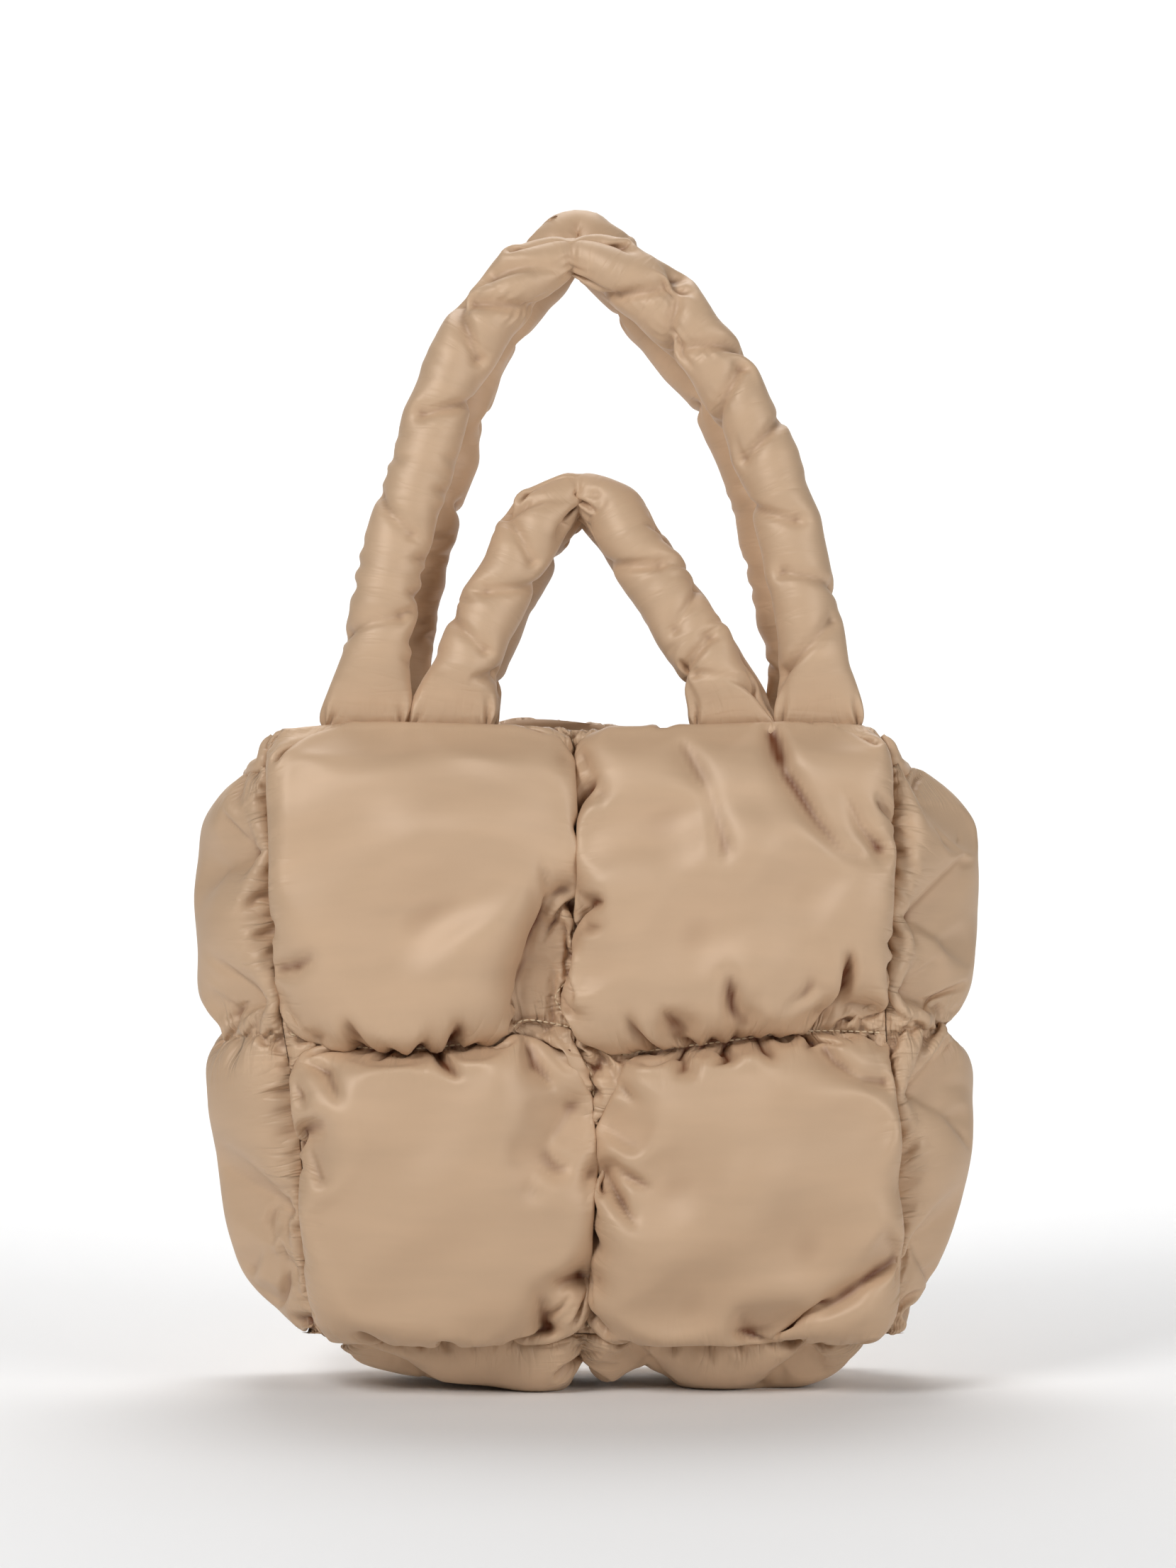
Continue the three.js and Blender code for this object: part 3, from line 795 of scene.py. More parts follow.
def panel_across(panel, u, z):
    """x at a share u from the left edge through the upright line to the right edge, at a height."""
    left = along(panel.edges, "z", "left", z) + corner_inset(z)
    right = along(panel.edges, "z", "right", z) - corner_inset(z)
    return through_line(u, left, along(panel.upright, "z", "x", z), right)


def panel_place(panel, u, v):
    """x and z on the panel's seam surface at shares u across and v up, through its quilting lines."""
    plain_z = PANEL_BOTTOM_Z + (RIM_Z - PANEL_BOTTOM_Z) * v
    plain_x = panel_across(panel, u, plain_z)
    line_z = along(panel.level, "x", "z", plain_x)
    z = through_line(v, PANEL_BOTTOM_Z, line_z, along(panel.rim, "x", "z", plain_x))
    return panel_across(panel, u, z), z


def seam_y(u, v, z):
    """y of the panel's seam surface, which bows out a little in the middle."""
    return -along(BAG_DEPTH, "z", "depth", z) / 2 - PANEL_BOW * np.sin(np.pi * u) * np.sin(np.pi * v)


def panel_roof(panel):
    """The roof over a panel in x and z: low domes over the puffs, with soft dents."""
    x, z = raster(*PANEL_RASTER)
    left, right = (along(panel.edges, "z", side, z) for side in ("left", "right"))
    upright = along(panel.upright, "z", "x", z)
    level = along(panel.level, "x", "z", x)
    across = np.where(x < upright, (x - left) / (upright - left), (x - upright) / (right - upright))
    up = np.where(z < level, (z - PANEL_BOTTOM_Z) / (level - PANEL_BOTTOM_Z), (z - level) / (RIM_Z - level))
    dome = np.sin(np.pi * np.clip(across, 0, 1)) * np.sin(np.pi * np.clip(up, 0, 1))
    dents = SOFT_DENT * unevenness(panel.seed + 2, x, z, SOFT_DENT_SIZE)
    shoulder = SHOULDER_HEIGHT + SHOULDER_SLOPE * (RIM_Z - z)
    return Roof(x, z, np.minimum(PUFF_HEIGHT + PUFF_DOME * dome + dents, shoulder), panel.creases)


def beside(places, seam, past):
    """Places kept on their own side of a seam and a little clear of it."""
    over, under = seam + SEAM_CLEARANCE, seam - SEAM_CLEARANCE
    return np.where(past, np.maximum(places, over), np.minimum(places, under))


def panel_limits(panel, roof, u, v, held):
    """What surrounds a panel's cloth: the backing, the creases, the neighbouring puffs and the gusset."""
    z_steps = np.linspace(PANEL_BOTTOM_Z, RIM_Z, LIMIT_STEPS)
    x_steps = np.linspace(-LIMIT_X, LIMIT_X, LIMIT_STEPS)
    backing = -along(BAG_DEPTH, "z", "depth", z_steps) / 2
    upright = along(panel.upright, "z", "x", z_steps)
    level = along(panel.level, "x", "z", x_steps)
    rim = along(panel.rim, "x", "z", x_steps) + RIM_OVERHANG
    left, right = (along(panel.edges, "z", side, z_steps) for side in ("left", "right"))
    inner = ~held.ravel()
    is_right, is_upper = (u > 0.5).ravel()[inner], (v > 0.5).ravel()[inner]

    def keep(points):
        p = points[inner]
        base = np.interp(p[:, 2], z_steps, backing)
        p[:, 1] = np.minimum(p[:, 1], base)
        p[:, 1] += roof.excess(p[:, 0], p[:, 2], base - p[:, 1])
        height = base - p[:, 1]
        p[:, 0] = beside(p[:, 0], np.interp(p[:, 2], z_steps, upright), is_right)
        p[:, 2] = beside(p[:, 2], np.interp(p[:, 0], x_steps, level) - OVERHANG * height, is_upper)
        lean = SIDE_OVERHANG * height
        left_most = np.interp(p[:, 2], z_steps, left) - lean
        right_most = np.interp(p[:, 2], z_steps, right) + lean
        p[:, 0] = np.clip(p[:, 0], left_most, right_most)
        p[:, 2] = np.clip(p[:, 2], PANEL_BOTTOM_Z - BOTTOM_OVERHANG, np.interp(p[:, 0], x_steps, rim))
        points[inner] = p

    return keep


def panel_sheet(panel, steps):
    """A panel's outer cloth at a number of steps across each puff, sewn at its edges and quilting lines.

    It has more cloth than its layout, most of all beside the seams. The spare cloth is uneven, less so in
    the middle of a puff, and there is less of it over a crease, at the puffs' corners and, lengthwise,
    along the sides.
    """
    roof = panel_roof(panel)
    stations = quilt_stations(steps)
    u, v = np.meshgrid(stations, stations)
    x, z = panel_place(panel, u, v)
    y = seam_y(u, v, z)
    seams = (0, steps, -1)
    held = np.zeros(u.shape, bool)
    held[seams, :] = True
    held[:, seams] = True
    layout = np.stack([x, 0 * x, z], -1)
    spare = np.clip(roof.over(x, z) / PUFF_HEIGHT, CREASE_SPARE, 1)
    corners = [(x[i, j], z[i, j]) for i in seams for j in seams]
    to_corner = np.min([np.hypot(x - corner_x, z - corner_z) for corner_x, corner_z in corners], axis=0)
    spare *= 1 - (1 - CORNER_SPARE) * smooth_step(np.clip(1 - to_corner / CORNER_REACH, 0, 1))
    to_side = np.minimum(x - x[:, :1], x[:, -1:] - x)
    at_sides = 1 - SIDE_CALM * np.clip(1 - to_side / SIDE_CALM_REACH, 0, 1)
    calm = 1 - MIDDLE_CALM * (crown(u, 2) * crown(v, 2)) ** 2

    def ease(seed, share_beside):
        middle = (PANEL_EASE_IN_MIDDLE - PANEL_EASE_AT_SEAM) * crown(share_beside, 2)
        uneven = EASE_UNEVENNESS * unevenness(seed, x, z, UNEVENNESS_SIZE) * calm
        return 1 + spare * (PANEL_EASE_AT_SEAM - 1 + middle + uneven)

    return Sheet(
        start=np.stack([x, y - PUFF_START * crown(u) * crown(v), z], -1),
        rest=layout,
        held=held,
        ease_down=1 + (ease(panel.seed + 1, u) - 1) * at_sides,
        ease_across=ease(panel.seed, v),
        keep=panel_limits(panel, roof, u, v, held),
    )


def make_panel(panel, material):
    """A padded panel: settled cloth outside, and low plain puffs on the inside."""
    outer = settled(lambda steps: panel_sheet(panel, steps), PANEL_STUFFING, panel.seed)
    stations = quilt_stations(len(outer) // 2)
    u, v = np.meshgrid(stations, stations)
    x, z = panel_place(panel, u, v)
    swell = SEAM_THICKNESS + INNER_PUFF * crown(u) * crown(v)
    inner = np.stack([x, seam_y(u, v, z) + swell, z], -1)[::INNER_COARSENESS, ::INNER_COARSENESS]
    if panel.turned:
        half_turn = np.array([-1, -1, 1])
        outer, inner = outer * half_turn, inner * half_turn
    sewn_columns = [0, outer.shape[1] // 2, -1]
    piece = padded_shell(f"{panel.name}_cloth", outer, inner, np.stack([x, z], -1), sewn_columns, material)
    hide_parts(panel.name)
    return piece


# Gussets


@dataclass
class Gusset:
    """One length of the gusset: its run of panel edge, its bulge, its quilting seam and its side."""

    name: str
    bulge: dict
    bulge_along: str
    edge: str
    seam_at: float
    creases: tuple
    seed: int

    @property
    def side(self):
        """The way out from the bag along x: -1 on the left and 1 on the right."""
        return -1 if self.edge == "left" else 1


LEFT_GUSSET = Gusset("left_gusset", LEFT_BULGE, "z", "left", GUSSET_QUILT_Z, LEFT_CREASES, 21)
RIGHT_GUSSET = Gusset("right_gusset", RIGHT_BULGE, "z", "right", GUSSET_QUILT_Z, RIGHT_CREASES, 22)
BOTTOM_GUSSET = Gusset("bottom_gusset", BOTTOM_BULGE, "x", "bottom", BOTTOM_SEAM_X, BOTTOM_CREASES, 23)

GUSSET_STUFFING = Stuffing(
    push=0.25,
    levels=doubling_levels(
        9, steps=(140, 140, 140, 120, 90), shorten=(0.9, 0.9, 0.8, 0.6, 0.5), bend=(0.5, 0.5, 0.5, 0.5, 0.5)
    ),
)
GUSSET_ACROSS = 2 / 3
GUSSET_GIRTH = 140.0
GUSSET_FORWARD = 10.0
GUSSET_EASE_AT_SEAM = 1.06
GUSSET_EASE_IN_MIDDLE = 1.02
GUSSET_EASE_ACROSS = 1.14
GUSSET_UNEVENNESS = 0.03
GUSSET_UNEVENNESS_SIZE = 60.0
GUSSET_SEAM_WAVER = 1.5
GUSSET_WAVER_SIZE = 30.0
GUSSET_INNER_COARSENESS = 6
EDGE_STEPS = 1200


def edge_run(gusset, steps):
    """Points of the panel edge that a gusset follows, and its outward ways, two puffs of steps long."""
    fine = np.linspace(0, 1, EDGE_STEPS)
    if gusset.edge == "bottom":
        x, z = panel_place(FRONT, fine, 0 * fine)
    else:
        x, z = panel_place(FRONT, np.full_like(fine, float(gusset.edge == "right")), fine)
        below_top = z <= GUSSET_TOP_Z
        x, z = x[below_top], z[below_top]
    length = distances(np.stack([x, z], -1))
    seam = np.interp(gusset.seam_at, x if gusset.edge == "bottom" else z, length)
    stations = through_line(quilt_stations(steps), 0, seam, length[-1])
    run_x, run_z = np.interp(stations, length, x), np.interp(stations, length, z)
    way_x, way_z = (np.interp(stations, length, np.gradient(line, length)) for line in (x, z))
    return run_x, run_z, unit(np.stack([way_z, -way_x], -1) * gusset.side), stations


def gusset_surface(gusset, run, across, reach_column, half_shrink):
    """A gusset's surface: half an ellipse across the bag at each place of the run, flat on the floor."""
    run_x, run_z, out, _ = run
    place = run_z if gusset.bulge_along == "z" else run_x
    reach = along(gusset.bulge, gusset.bulge_along, reach_column, place)[:, None]
    half = along(BAG_DEPTH, "z", "depth", run_z)[:, None] / 2 - half_shrink
    rise = np.clip((run_z - GUSSET_TOP_Z + GUSSET_DIP_REACH) / GUSSET_DIP_REACH, 0, 1)[:, None]
    dip = GUSSET_TOP_DIP * smooth_step(rise)
    swing = np.sin(np.pi * across)[None]
    away = SEAM_GAP + reach * swing
    x = run_x[:, None] + out[:, :1] * away
    z = np.maximum(run_z[:, None] + out[:, 1:] * away - dip * swing, 0)
    y = -half * np.cos(np.pi * across)[None]
    return np.stack([x, gusset.side * y, z], -1)


def gusset_roof(gusset):
    """The roof over a gusset, in y and z at the sides and in x and y at the bottom: its bulge."""
    if gusset.edge == "bottom":
        a, b = raster(*BOTTOM_RASTER)
        return Roof(a, b, along(gusset.bulge, "x", "outer", a), gusset.creases)
    a, b = raster(*SIDE_RASTER)
    return Roof(a, b, along(gusset.bulge, "z", "outer", b), gusset.creases)


def gusset_limits(gusset, half):
    """What surrounds a gusset's cloth: its bulge past the seams, the panels' puffs, its roof, the floor."""
    roof = gusset_roof(gusset)
    z_steps = np.linspace(0, RIM_Z, LIMIT_STEPS)
    side = gusset.side
    if gusset.edge != "bottom":
        edge = along(PANEL_EDGES, "z", gusset.edge, z_steps)

    def keep(p):
        p[:, 1] = np.clip(p[:, 1], -half - GUSSET_FORWARD, half + GUSSET_FORWARD)
        lean = SIDE_OVERHANG * np.maximum(np.abs(p[:, 1]) - half, 0) + SEAM_CLEARANCE
        if gusset.edge == "bottom":
            p[:, 2] += roof.excess(p[:, 0], p[:, 1], PANEL_BOTTOM_Z - p[:, 2])
            p[:, 2] = np.minimum(p[:, 2], PANEL_BOTTOM_Z - lean)
        else:
            seam = np.interp(p[:, 2], z_steps, edge)
            p[:, 0] -= side * roof.excess(p[:, 1], p[:, 2], side * (p[:, 0] - seam))
            p[:, 0] = seam + side * np.maximum(side * (p[:, 0] - seam), lean)
        p[:, 2] = np.maximum(p[:, 2], 0 if gusset.edge == "bottom" else PANEL_BOTTOM_Z)

    return keep


def gusset_sheet(gusset, steps):
    """A gusset's outer cloth, sewn along both panels, at both ends and along its quilting seam."""
    run = edge_run(gusset, steps)
    across = np.linspace(0, 1, int(steps * GUSSET_ACROSS) + 1)
    start = gusset_surface(gusset, run, across, "outer", 0)
    rest = start.copy()
    girth = across * GUSSET_GIRTH
    middle = np.sin(np.pi * across)
    waver = GUSSET_SEAM_WAVER * middle * unevenness(gusset.seed + 1, girth, 0 * girth, GUSSET_WAVER_SIZE)
    start[steps, :, 0 if gusset.edge == "bottom" else 2] += waver
    held = np.zeros(start.shape[:2], bool)
    held[[0, steps, -1]] = True
    held[:, [0, -1]] = True
    inner = ~held.ravel()
    half = np.repeat(along(BAG_DEPTH, "z", "depth", run[1]) / 2, len(across))[inner]
    down, over = np.meshgrid(run[3], girth, indexing="ij")
    uneven = GUSSET_UNEVENNESS * unevenness(gusset.seed, down, over, GUSSET_UNEVENNESS_SIZE)
    ease_down = GUSSET_EASE_AT_SEAM + (GUSSET_EASE_IN_MIDDLE - GUSSET_EASE_AT_SEAM) * middle[None]
    limit = gusset_limits(gusset, half)

    def keep(points):
        p = points[inner]
        limit(p)
        points[inner] = p

    return Sheet(
        start=start,
        rest=rest,
        held=held,
        ease_down=ease_down + uneven,
        ease_across=GUSSET_EASE_ACROSS + uneven,
        keep=keep,
    )


def make_gusset(gusset, material):
    """A padded gusset length: settled cloth outside, and a plain bowed inside."""
    outer = settled(lambda steps: gusset_sheet(gusset, steps), GUSSET_STUFFING, gusset.seed)
    outer[..., 2] = np.maximum(outer[..., 2], 0)
    run = edge_run(gusset, len(outer) // 2)
    across = np.linspace(0, 1, outer.shape[1])
    inner = gusset_surface(gusset, run, across, "inner", SEAM_THICKNESS)
    layout = np.stack(np.meshgrid(across * GUSSET_GIRTH, run[3]), -1)
    coarse = GUSSET_INNER_COARSENESS
    piece = padded_shell(f"{gusset.name}_cloth", outer, inner[::coarse, ::coarse], layout, [0, -1], material)
    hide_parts(gusset.name)
    return piece


# Handles


@dataclass
class Handle:
    """A stuffed tube from rim to rim: its route, its side of the bag, and the radius at its pinched peak."""

    name: str
    route: dict
    side: int
    pinch: float
    creases: dict
    levels: tuple
    seed: int


HANDLE_SETTLING = {
    "steps": (120, 120, 120, 100),
    "shorten": (0.9, 0.8, 0.6, 0.5),
    "bend": (0.4, 0.5, 0.5, 0.4),
}
LONG_LEVELS = doubling_levels(48, **HANDLE_SETTLING)
SHORT_LEVELS = doubling_levels(32, **HANDLE_SETTLING)
HANDLES = (
    Handle("front_long_handle", FRONT_LONG_ROUTE, -1, 8.5, LONG_HANDLE_CREASES, LONG_LEVELS, 31),
    Handle("back_long_handle", BACK_LONG_ROUTE, 1, 10.0, LONG_HANDLE_CREASES, LONG_LEVELS, 32),
    Handle("front_short_handle", FRONT_SHORT_ROUTE, -1, 7.5, SHORT_HANDLE_CREASES, SHORT_LEVELS, 33),
    Handle("back_short_handle", BACK_SHORT_ROUTE, 1, 10.0, SHORT_HANDLE_CREASES, SHORT_LEVELS, 34),
)
HANDLE_COARSEST_SIDES = 12
HANDLE_PUSH = 0.18
HANDLE_EASE_ALONG = 1.01
HANDLE_UNEVENNESS = 0.02
HANDLE_UNEVENNESS_SIZE = 50.0
HANDLE_CREASE_STEEPNESS = 0.9
FOOT_GATHER = 0.02
FOOT_GATHER_REACH = 30.0
CENTRE_PULL = 0.15
PINCH_FLARE = 0.4
CENTRE_LINE_STEPS = 2000


def handle_line(handle, steps):
    """A handle's centre line in even steps, with the ways along it, across its width and across its depth.

    The route's places are joined by a smooth curve over their distance. The line leans from the rim to
    the middle of the bag as it rises, and both feet stand upright on the rim.
    """
    x, z = handle.route["x"], handle.route["z"]
    rise = (z - FOOT_Z) / (z.max() - FOOT_Z)
    foot_y = along(BAG_DEPTH, "z", "depth", RIM_Z) / 2 - SEAM_THICKNESS / 2
    y = handle.side * (foot_y + (HANDLE_PEAK_Y - foot_y) * rise)
    line, _ = curve_through(np.stack([x, y, z], -1), CENTRE_LINE_STEPS)
    length = distances(line)
    even = np.linspace(0, length[-1], steps + 1)
    centre, way = points_and_ways(line, length, even)
    share = even / length[-1]
    at_foot = 1 - smooth_step(np.clip(np.minimum(share, 1 - share) / FOOT_SHARE, 0, 1)[:, None])
    upright = np.stack([0 * share, 0 * share, np.where(share < 0.5, 1, -1)], -1)
    way = unit(way * (1 - at_foot) + upright * at_foot)
    depth_way = unit(np.array([0.0, 1.0, 0.0]) - way * way[:, 1:2])
    return centre, np.cross(depth_way, way), depth_way, even


def handle_reach(handle, peak, around, down):
    """How far a handle's cloth may stand off its centre line: less at its pinched peak and its creases."""
    girth = 2 * np.pi * HANDLE_RADIUS
    reach = handle.pinch + PINCH_FLARE * np.abs(down - peak)
    rows = zip(*(handle.creases[name] for name in ("share", "turn", "slant", "half", "radius")))
    for share, turn, slant, half, radius in rows:
        if handle.side > 0:
            share, turn = 1 - share, 360 - turn
        away_round = (around - np.radians(turn) * HANDLE_RADIUS + girth / 2) % girth - girth / 2
        away_down = down - share * down[-1, 0]
        run = np.array([np.cos(np.radians(slant)), np.sin(np.radians(slant))])
        on_line = np.clip(away_round * run[0] + away_down * run[1], -half, half)
        away = np.hypot(away_round - on_line * run[0], away_down - on_line * run[1])
        reach = np.minimum(reach, radius + HANDLE_CREASE_STEEPNESS * rounded(away))
    return reach[..., None]


def handle_sheet(handle, steps):
    """A handle's cloth as rings: flattened ones to start from, and round ones at rest on the same line."""
    centre, width_way, depth_way, even = handle_line(handle, steps)
    sides = HANDLE_COARSEST_SIDES * steps // handle.levels[0].density
    angle = circle(sides)
    share = even / even[-1]
    width = along(HANDLE_SECTIONS, "share", "width", share)[:, None, None]
    depth = along(HANDLE_SECTIONS, "share", "depth", share)[:, None, None]
    across_width = np.cos(angle)[None, :, None] * width_way[:, None]
    across_depth = np.sin(angle)[None, :, None] * depth_way[:, None]
    start = centre[:, None] + width * across_width + depth * across_depth
    rest = centre[:, None] + HANDLE_RADIUS * (across_width + across_depth)
    around, down = np.meshgrid(angle * HANDLE_RADIUS, even)
    held = np.zeros(start.shape[:2], bool)
    held[[0, -1]] = True
    uneven = HANDLE_UNEVENNESS * unevenness(handle.seed, around, down, HANDLE_UNEVENNESS_SIZE)
    reach = handle_reach(handle, even[np.argmax(centre[:, 2])], around, down)[1:-1]
    gather = FOOT_GATHER * np.clip(1 - np.minimum(down, even[-1] - down) / FOOT_GATHER_REACH, 0, 1)

    def keep(points):
        rings = points.reshape(steps + 1, sides, 3)
        inside = rings[1:-1]
        inside += CENTRE_PULL * (centre[1:-1, None] - inside.mean(1, keepdims=True))
        away = inside - centre[1:-1, None]
        inside -= ROOF_YIELD * away * np.maximum(1 - reach / np.linalg.norm(away, axis=2, keepdims=True), 0)
        inside[..., 1] = handle.side * np.maximum(handle.side * inside[..., 1], SEAM_CLEARANCE)
        inside[..., 2] = np.maximum(inside[..., 2], FOOT_Z)

    return Sheet(
        start=start,
        rest=rest,
        held=held,
        ease_down=HANDLE_EASE_ALONG + uneven,
        ease_across=1 + gather,
        keep=keep,
        ring=True,
    )


def make_handle(handle, material):
    """A stuffed handle, settled as a ring of cloth and closed at its sewn feet."""
    stuffing = Stuffing(push=HANDLE_PUSH, levels=handle.levels)
    rings = settled(lambda steps: handle_sheet(handle, steps), stuffing, handle.seed)
    lengths = handle_line(handle, len(rings) - 1)[3]
    piece = tube(f"{handle.name}_cloth", rings, 2 * np.pi * HANDLE_RADIUS, lengths, material)
    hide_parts(handle.name)
    return piece


# Hems and stitches

HEM_RADIUS = 4.2
HEM_OUT = 3.0
HEM_BEHIND = 4.0
HEM_TAPER = 12.0
HEM_SIDES = 20
HEM_STEPS = 160
HEM_UNEVENNESS = 0.35
HEM_UNEVENNESS_SIZE = 16.0
HEM_CORNER_PLACES = 5
HEM_TOP_SHARES = np.linspace(0.1, 0.9, 7)
HEM_END = 0.1
STITCH_PITCH = 3.3
STITCH_LENGTH = 2.7
STITCH_THICKNESS = 0.9
STITCH_LIFT = 0.5
STITCH_SIDES = 8
STITCH_SWELL = np.linspace(0.02, 0.98, 6) * np.pi
STITCHED_SHARES = np.linspace(0.01, 0.99, 1500)


def frames_along(line):
    """Two ways across a line at each of its points: each turns no more than the line itself does."""
    way = unit(np.gradient(line, axis=0))
    sides = [unit(np.cross(way[0], [0.0, 1.0, 0.0]))]
    for step in way[1:]:
        sides.append(unit(sides[-1] - step * (sides[-1] @ step)))
    side = np.array(sides)
    return side, np.cross(way, side)


def make_hem(gusset, material):
    """The rolled hem on a side gusset's top: a soft tube from the front panel's corner to the back one's.

    It follows the panel's rounded corner, a little outside it, then the gusset's top edge across the bag.
    """
    heights = np.linspace(RIM_Z - HEM_RADIUS, GUSSET_TOP_Z, HEM_CORNER_PLACES)[:-1]
    edge = along(PANEL_EDGES, "z", gusset.edge, heights) - gusset.side * (corner_inset(heights) - HEM_OUT)
    half = along(BAG_DEPTH, "z", "depth", heights) / 2
    corner = np.stack([edge, HEM_BEHIND - half, heights], -1)
    top = gusset_surface(gusset, edge_run(gusset, 1), HEM_TOP_SHARES, "outer", 0)[-1, :: gusset.side]
    line, stations = curve_through(np.concatenate([corner, top, (corner * [1, -1, 1])[::-1]]), HEM_STEPS)
    one, other = frames_along(line)
    angle = circle(HEM_SIDES)
    around, down = np.meshgrid(angle * HEM_RADIUS, stations)
    taper = np.sqrt(np.clip(np.minimum(down, stations[-1] - down) / HEM_TAPER, HEM_END, 1))
    uneven = HEM_UNEVENNESS * unevenness(gusset.seed + 7, around, down, HEM_UNEVENNESS_SIZE)
    radius = (taper * (HEM_RADIUS + uneven))[..., None]
    spin = np.cos(angle)[None, :, None] * one[:, None] + np.sin(angle)[None, :, None] * other[:, None]
    rings = line[:, None] + radius * spin
    piece = tube(f"{gusset.edge}_hem", rings, 2 * np.pi * HEM_RADIUS, stations, material)
    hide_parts(gusset.name)


def seam_line(panel, upright):
    """Points along a panel's quilting line, in steps of a stitch, and the ways along it."""
    half = np.full_like(STITCHED_SHARES, 0.5)
    u, v = (half, STITCHED_SHARES) if upright else (STITCHED_SHARES, half)
    x, z = panel_place(panel, u, v)
    line = np.stack([x, seam_y(u, v, z) - STITCH_LIFT, z], -1)
    length = distances(line)
    places, way = points_and_ways(line, length, np.arange(STITCH_PITCH / 2, length[-1], STITCH_PITCH))
    return places, unit(way)


def make_stitches(panel, material):
    """The stitches of a panel's two quilting lines: small rounded bars, each an ellipsoid along the line."""
    places, ways = (np.concatenate(pair) for pair in zip(seam_line(panel, True), seam_line(panel, False)))
    across = np.cross(ways, [0.0, 1.0, 0.0])
    outward = np.cross(across, ways)
    turn = circle(STITCH_SIDES)
    thickness = np.sin(STITCH_SWELL)[:, None] * STITCH_THICKNESS / 2
    bar_along = -np.cos(STITCH_SWELL)[:, None] * STITCH_LENGTH / 2 + 0 * turn
    bar_across = thickness * np.cos(turn)
    bar_out = thickness * np.sin(turn)
    points = (
        places[:, None, None]
        + bar_along[None, ..., None] * ways[:, None, None]
        + bar_across[None, ..., None] * across[:, None, None]
        + bar_out[None, ..., None] * outward[:, None, None]
    )
    faces, _ = grid_faces(*bar_along.shape, ring=True)
    ends = end_faces(*bar_along.shape)
    first = np.arange(len(places))[:, None, None] * bar_along.size
    faces, ends = ((batch[None] + first).reshape(-1, batch.shape[1]) for batch in (faces, ends))
    points = points.reshape(-1, 3) * ([-1, -1, 1] if panel.turned else [1, 1, 1])
    flat = points[:, [0, 2]]
    piece = new_piece(f"{panel.name}_stitches", points, [faces, ends], [flat[faces], flat[ends]], material)
    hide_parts(panel.name)


# Materials

CLOTH_COLOUR = (0.605, 0.416, 0.268)
# Painted shade: the dark brown that the cloth's colour is mixed towards in hollows, standing in for the
# shadow in folds and seams
FOLD_SHADE_COLOUR = (0.17, 0.055, 0.02)
THREAD_COLOUR = (0.78, 0.62, 0.42)
THREAD_ROUGHNESS = 0.38
SATIN_FINISH = {
    "Metallic": 0.05,
    "Anisotropic": 0.4,
    "Specular IOR Level": 0.4,
    "Sheen Weight": 0.1,
    "Sheen Roughness": 0.35,
    "Sheen Tint": (0.98, 0.94, 0.82, 1),
}

# Patterns in the cloth: their scales across it, down it and through it, their detail and their distortion
STREAKS = {"scale": (14, 60, 1), "detail": 3.0}
GATHERS_DOWN_SEAMS = {"scale": (28, 130, 1), "detail": 2.0, "distortion": 0.5}
GATHERS_ALONG_SEAMS = {"scale": (130, 28, 1), "detail": 2.0, "distortion": 0.5}
WRINKLES = {"scale": (90, 150, 1), "detail": 2.0, "distortion": 0.6}
PATTERN_ROUGHNESS = 0.55
WEAVE_SCALE = 1100.0
TWIST_SCALE = 900.0

# What the streaks do to the colour and to the roughness, and the strength and depth of the bumps
STREAK_TONES = {"To_Min": 0.88, "To_Max": 1.12}
STREAK_ROUGHNESS = {"To_Min": 0.42, "To_Max": 0.52}
GATHER_BUMP = {"Strength": 0.9, "Distance": 0.009}
WRINKLE_BUMP = {"Strength": 0.12, "Distance": 0.0006}
WEAVE_BUMP = {"Strength": 0.1, "Distance": 0.0001}
TWIST_BUMP = {"Strength": 0.4, "Distance": 0.0002}


def joined(tree, kind, settings=None, **inputs):
    """A new node of a kind, with settings on itself and values or links on its inputs.

    An input is given by its name, or by its number after a low line.
    """
    node = tree.nodes.new(kind)
    for name, value in (settings or {}).items():
        setattr(node, name, value)
    for name, value in inputs.items():
        socket = node.inputs[int(name[1:]) if name[0] == "_" else name.replace("_", " ")]
        if isinstance(value, bpy.types.NodeSocket):
            tree.links.new(value, socket)
        else:
            socket.default_value = value
    return node


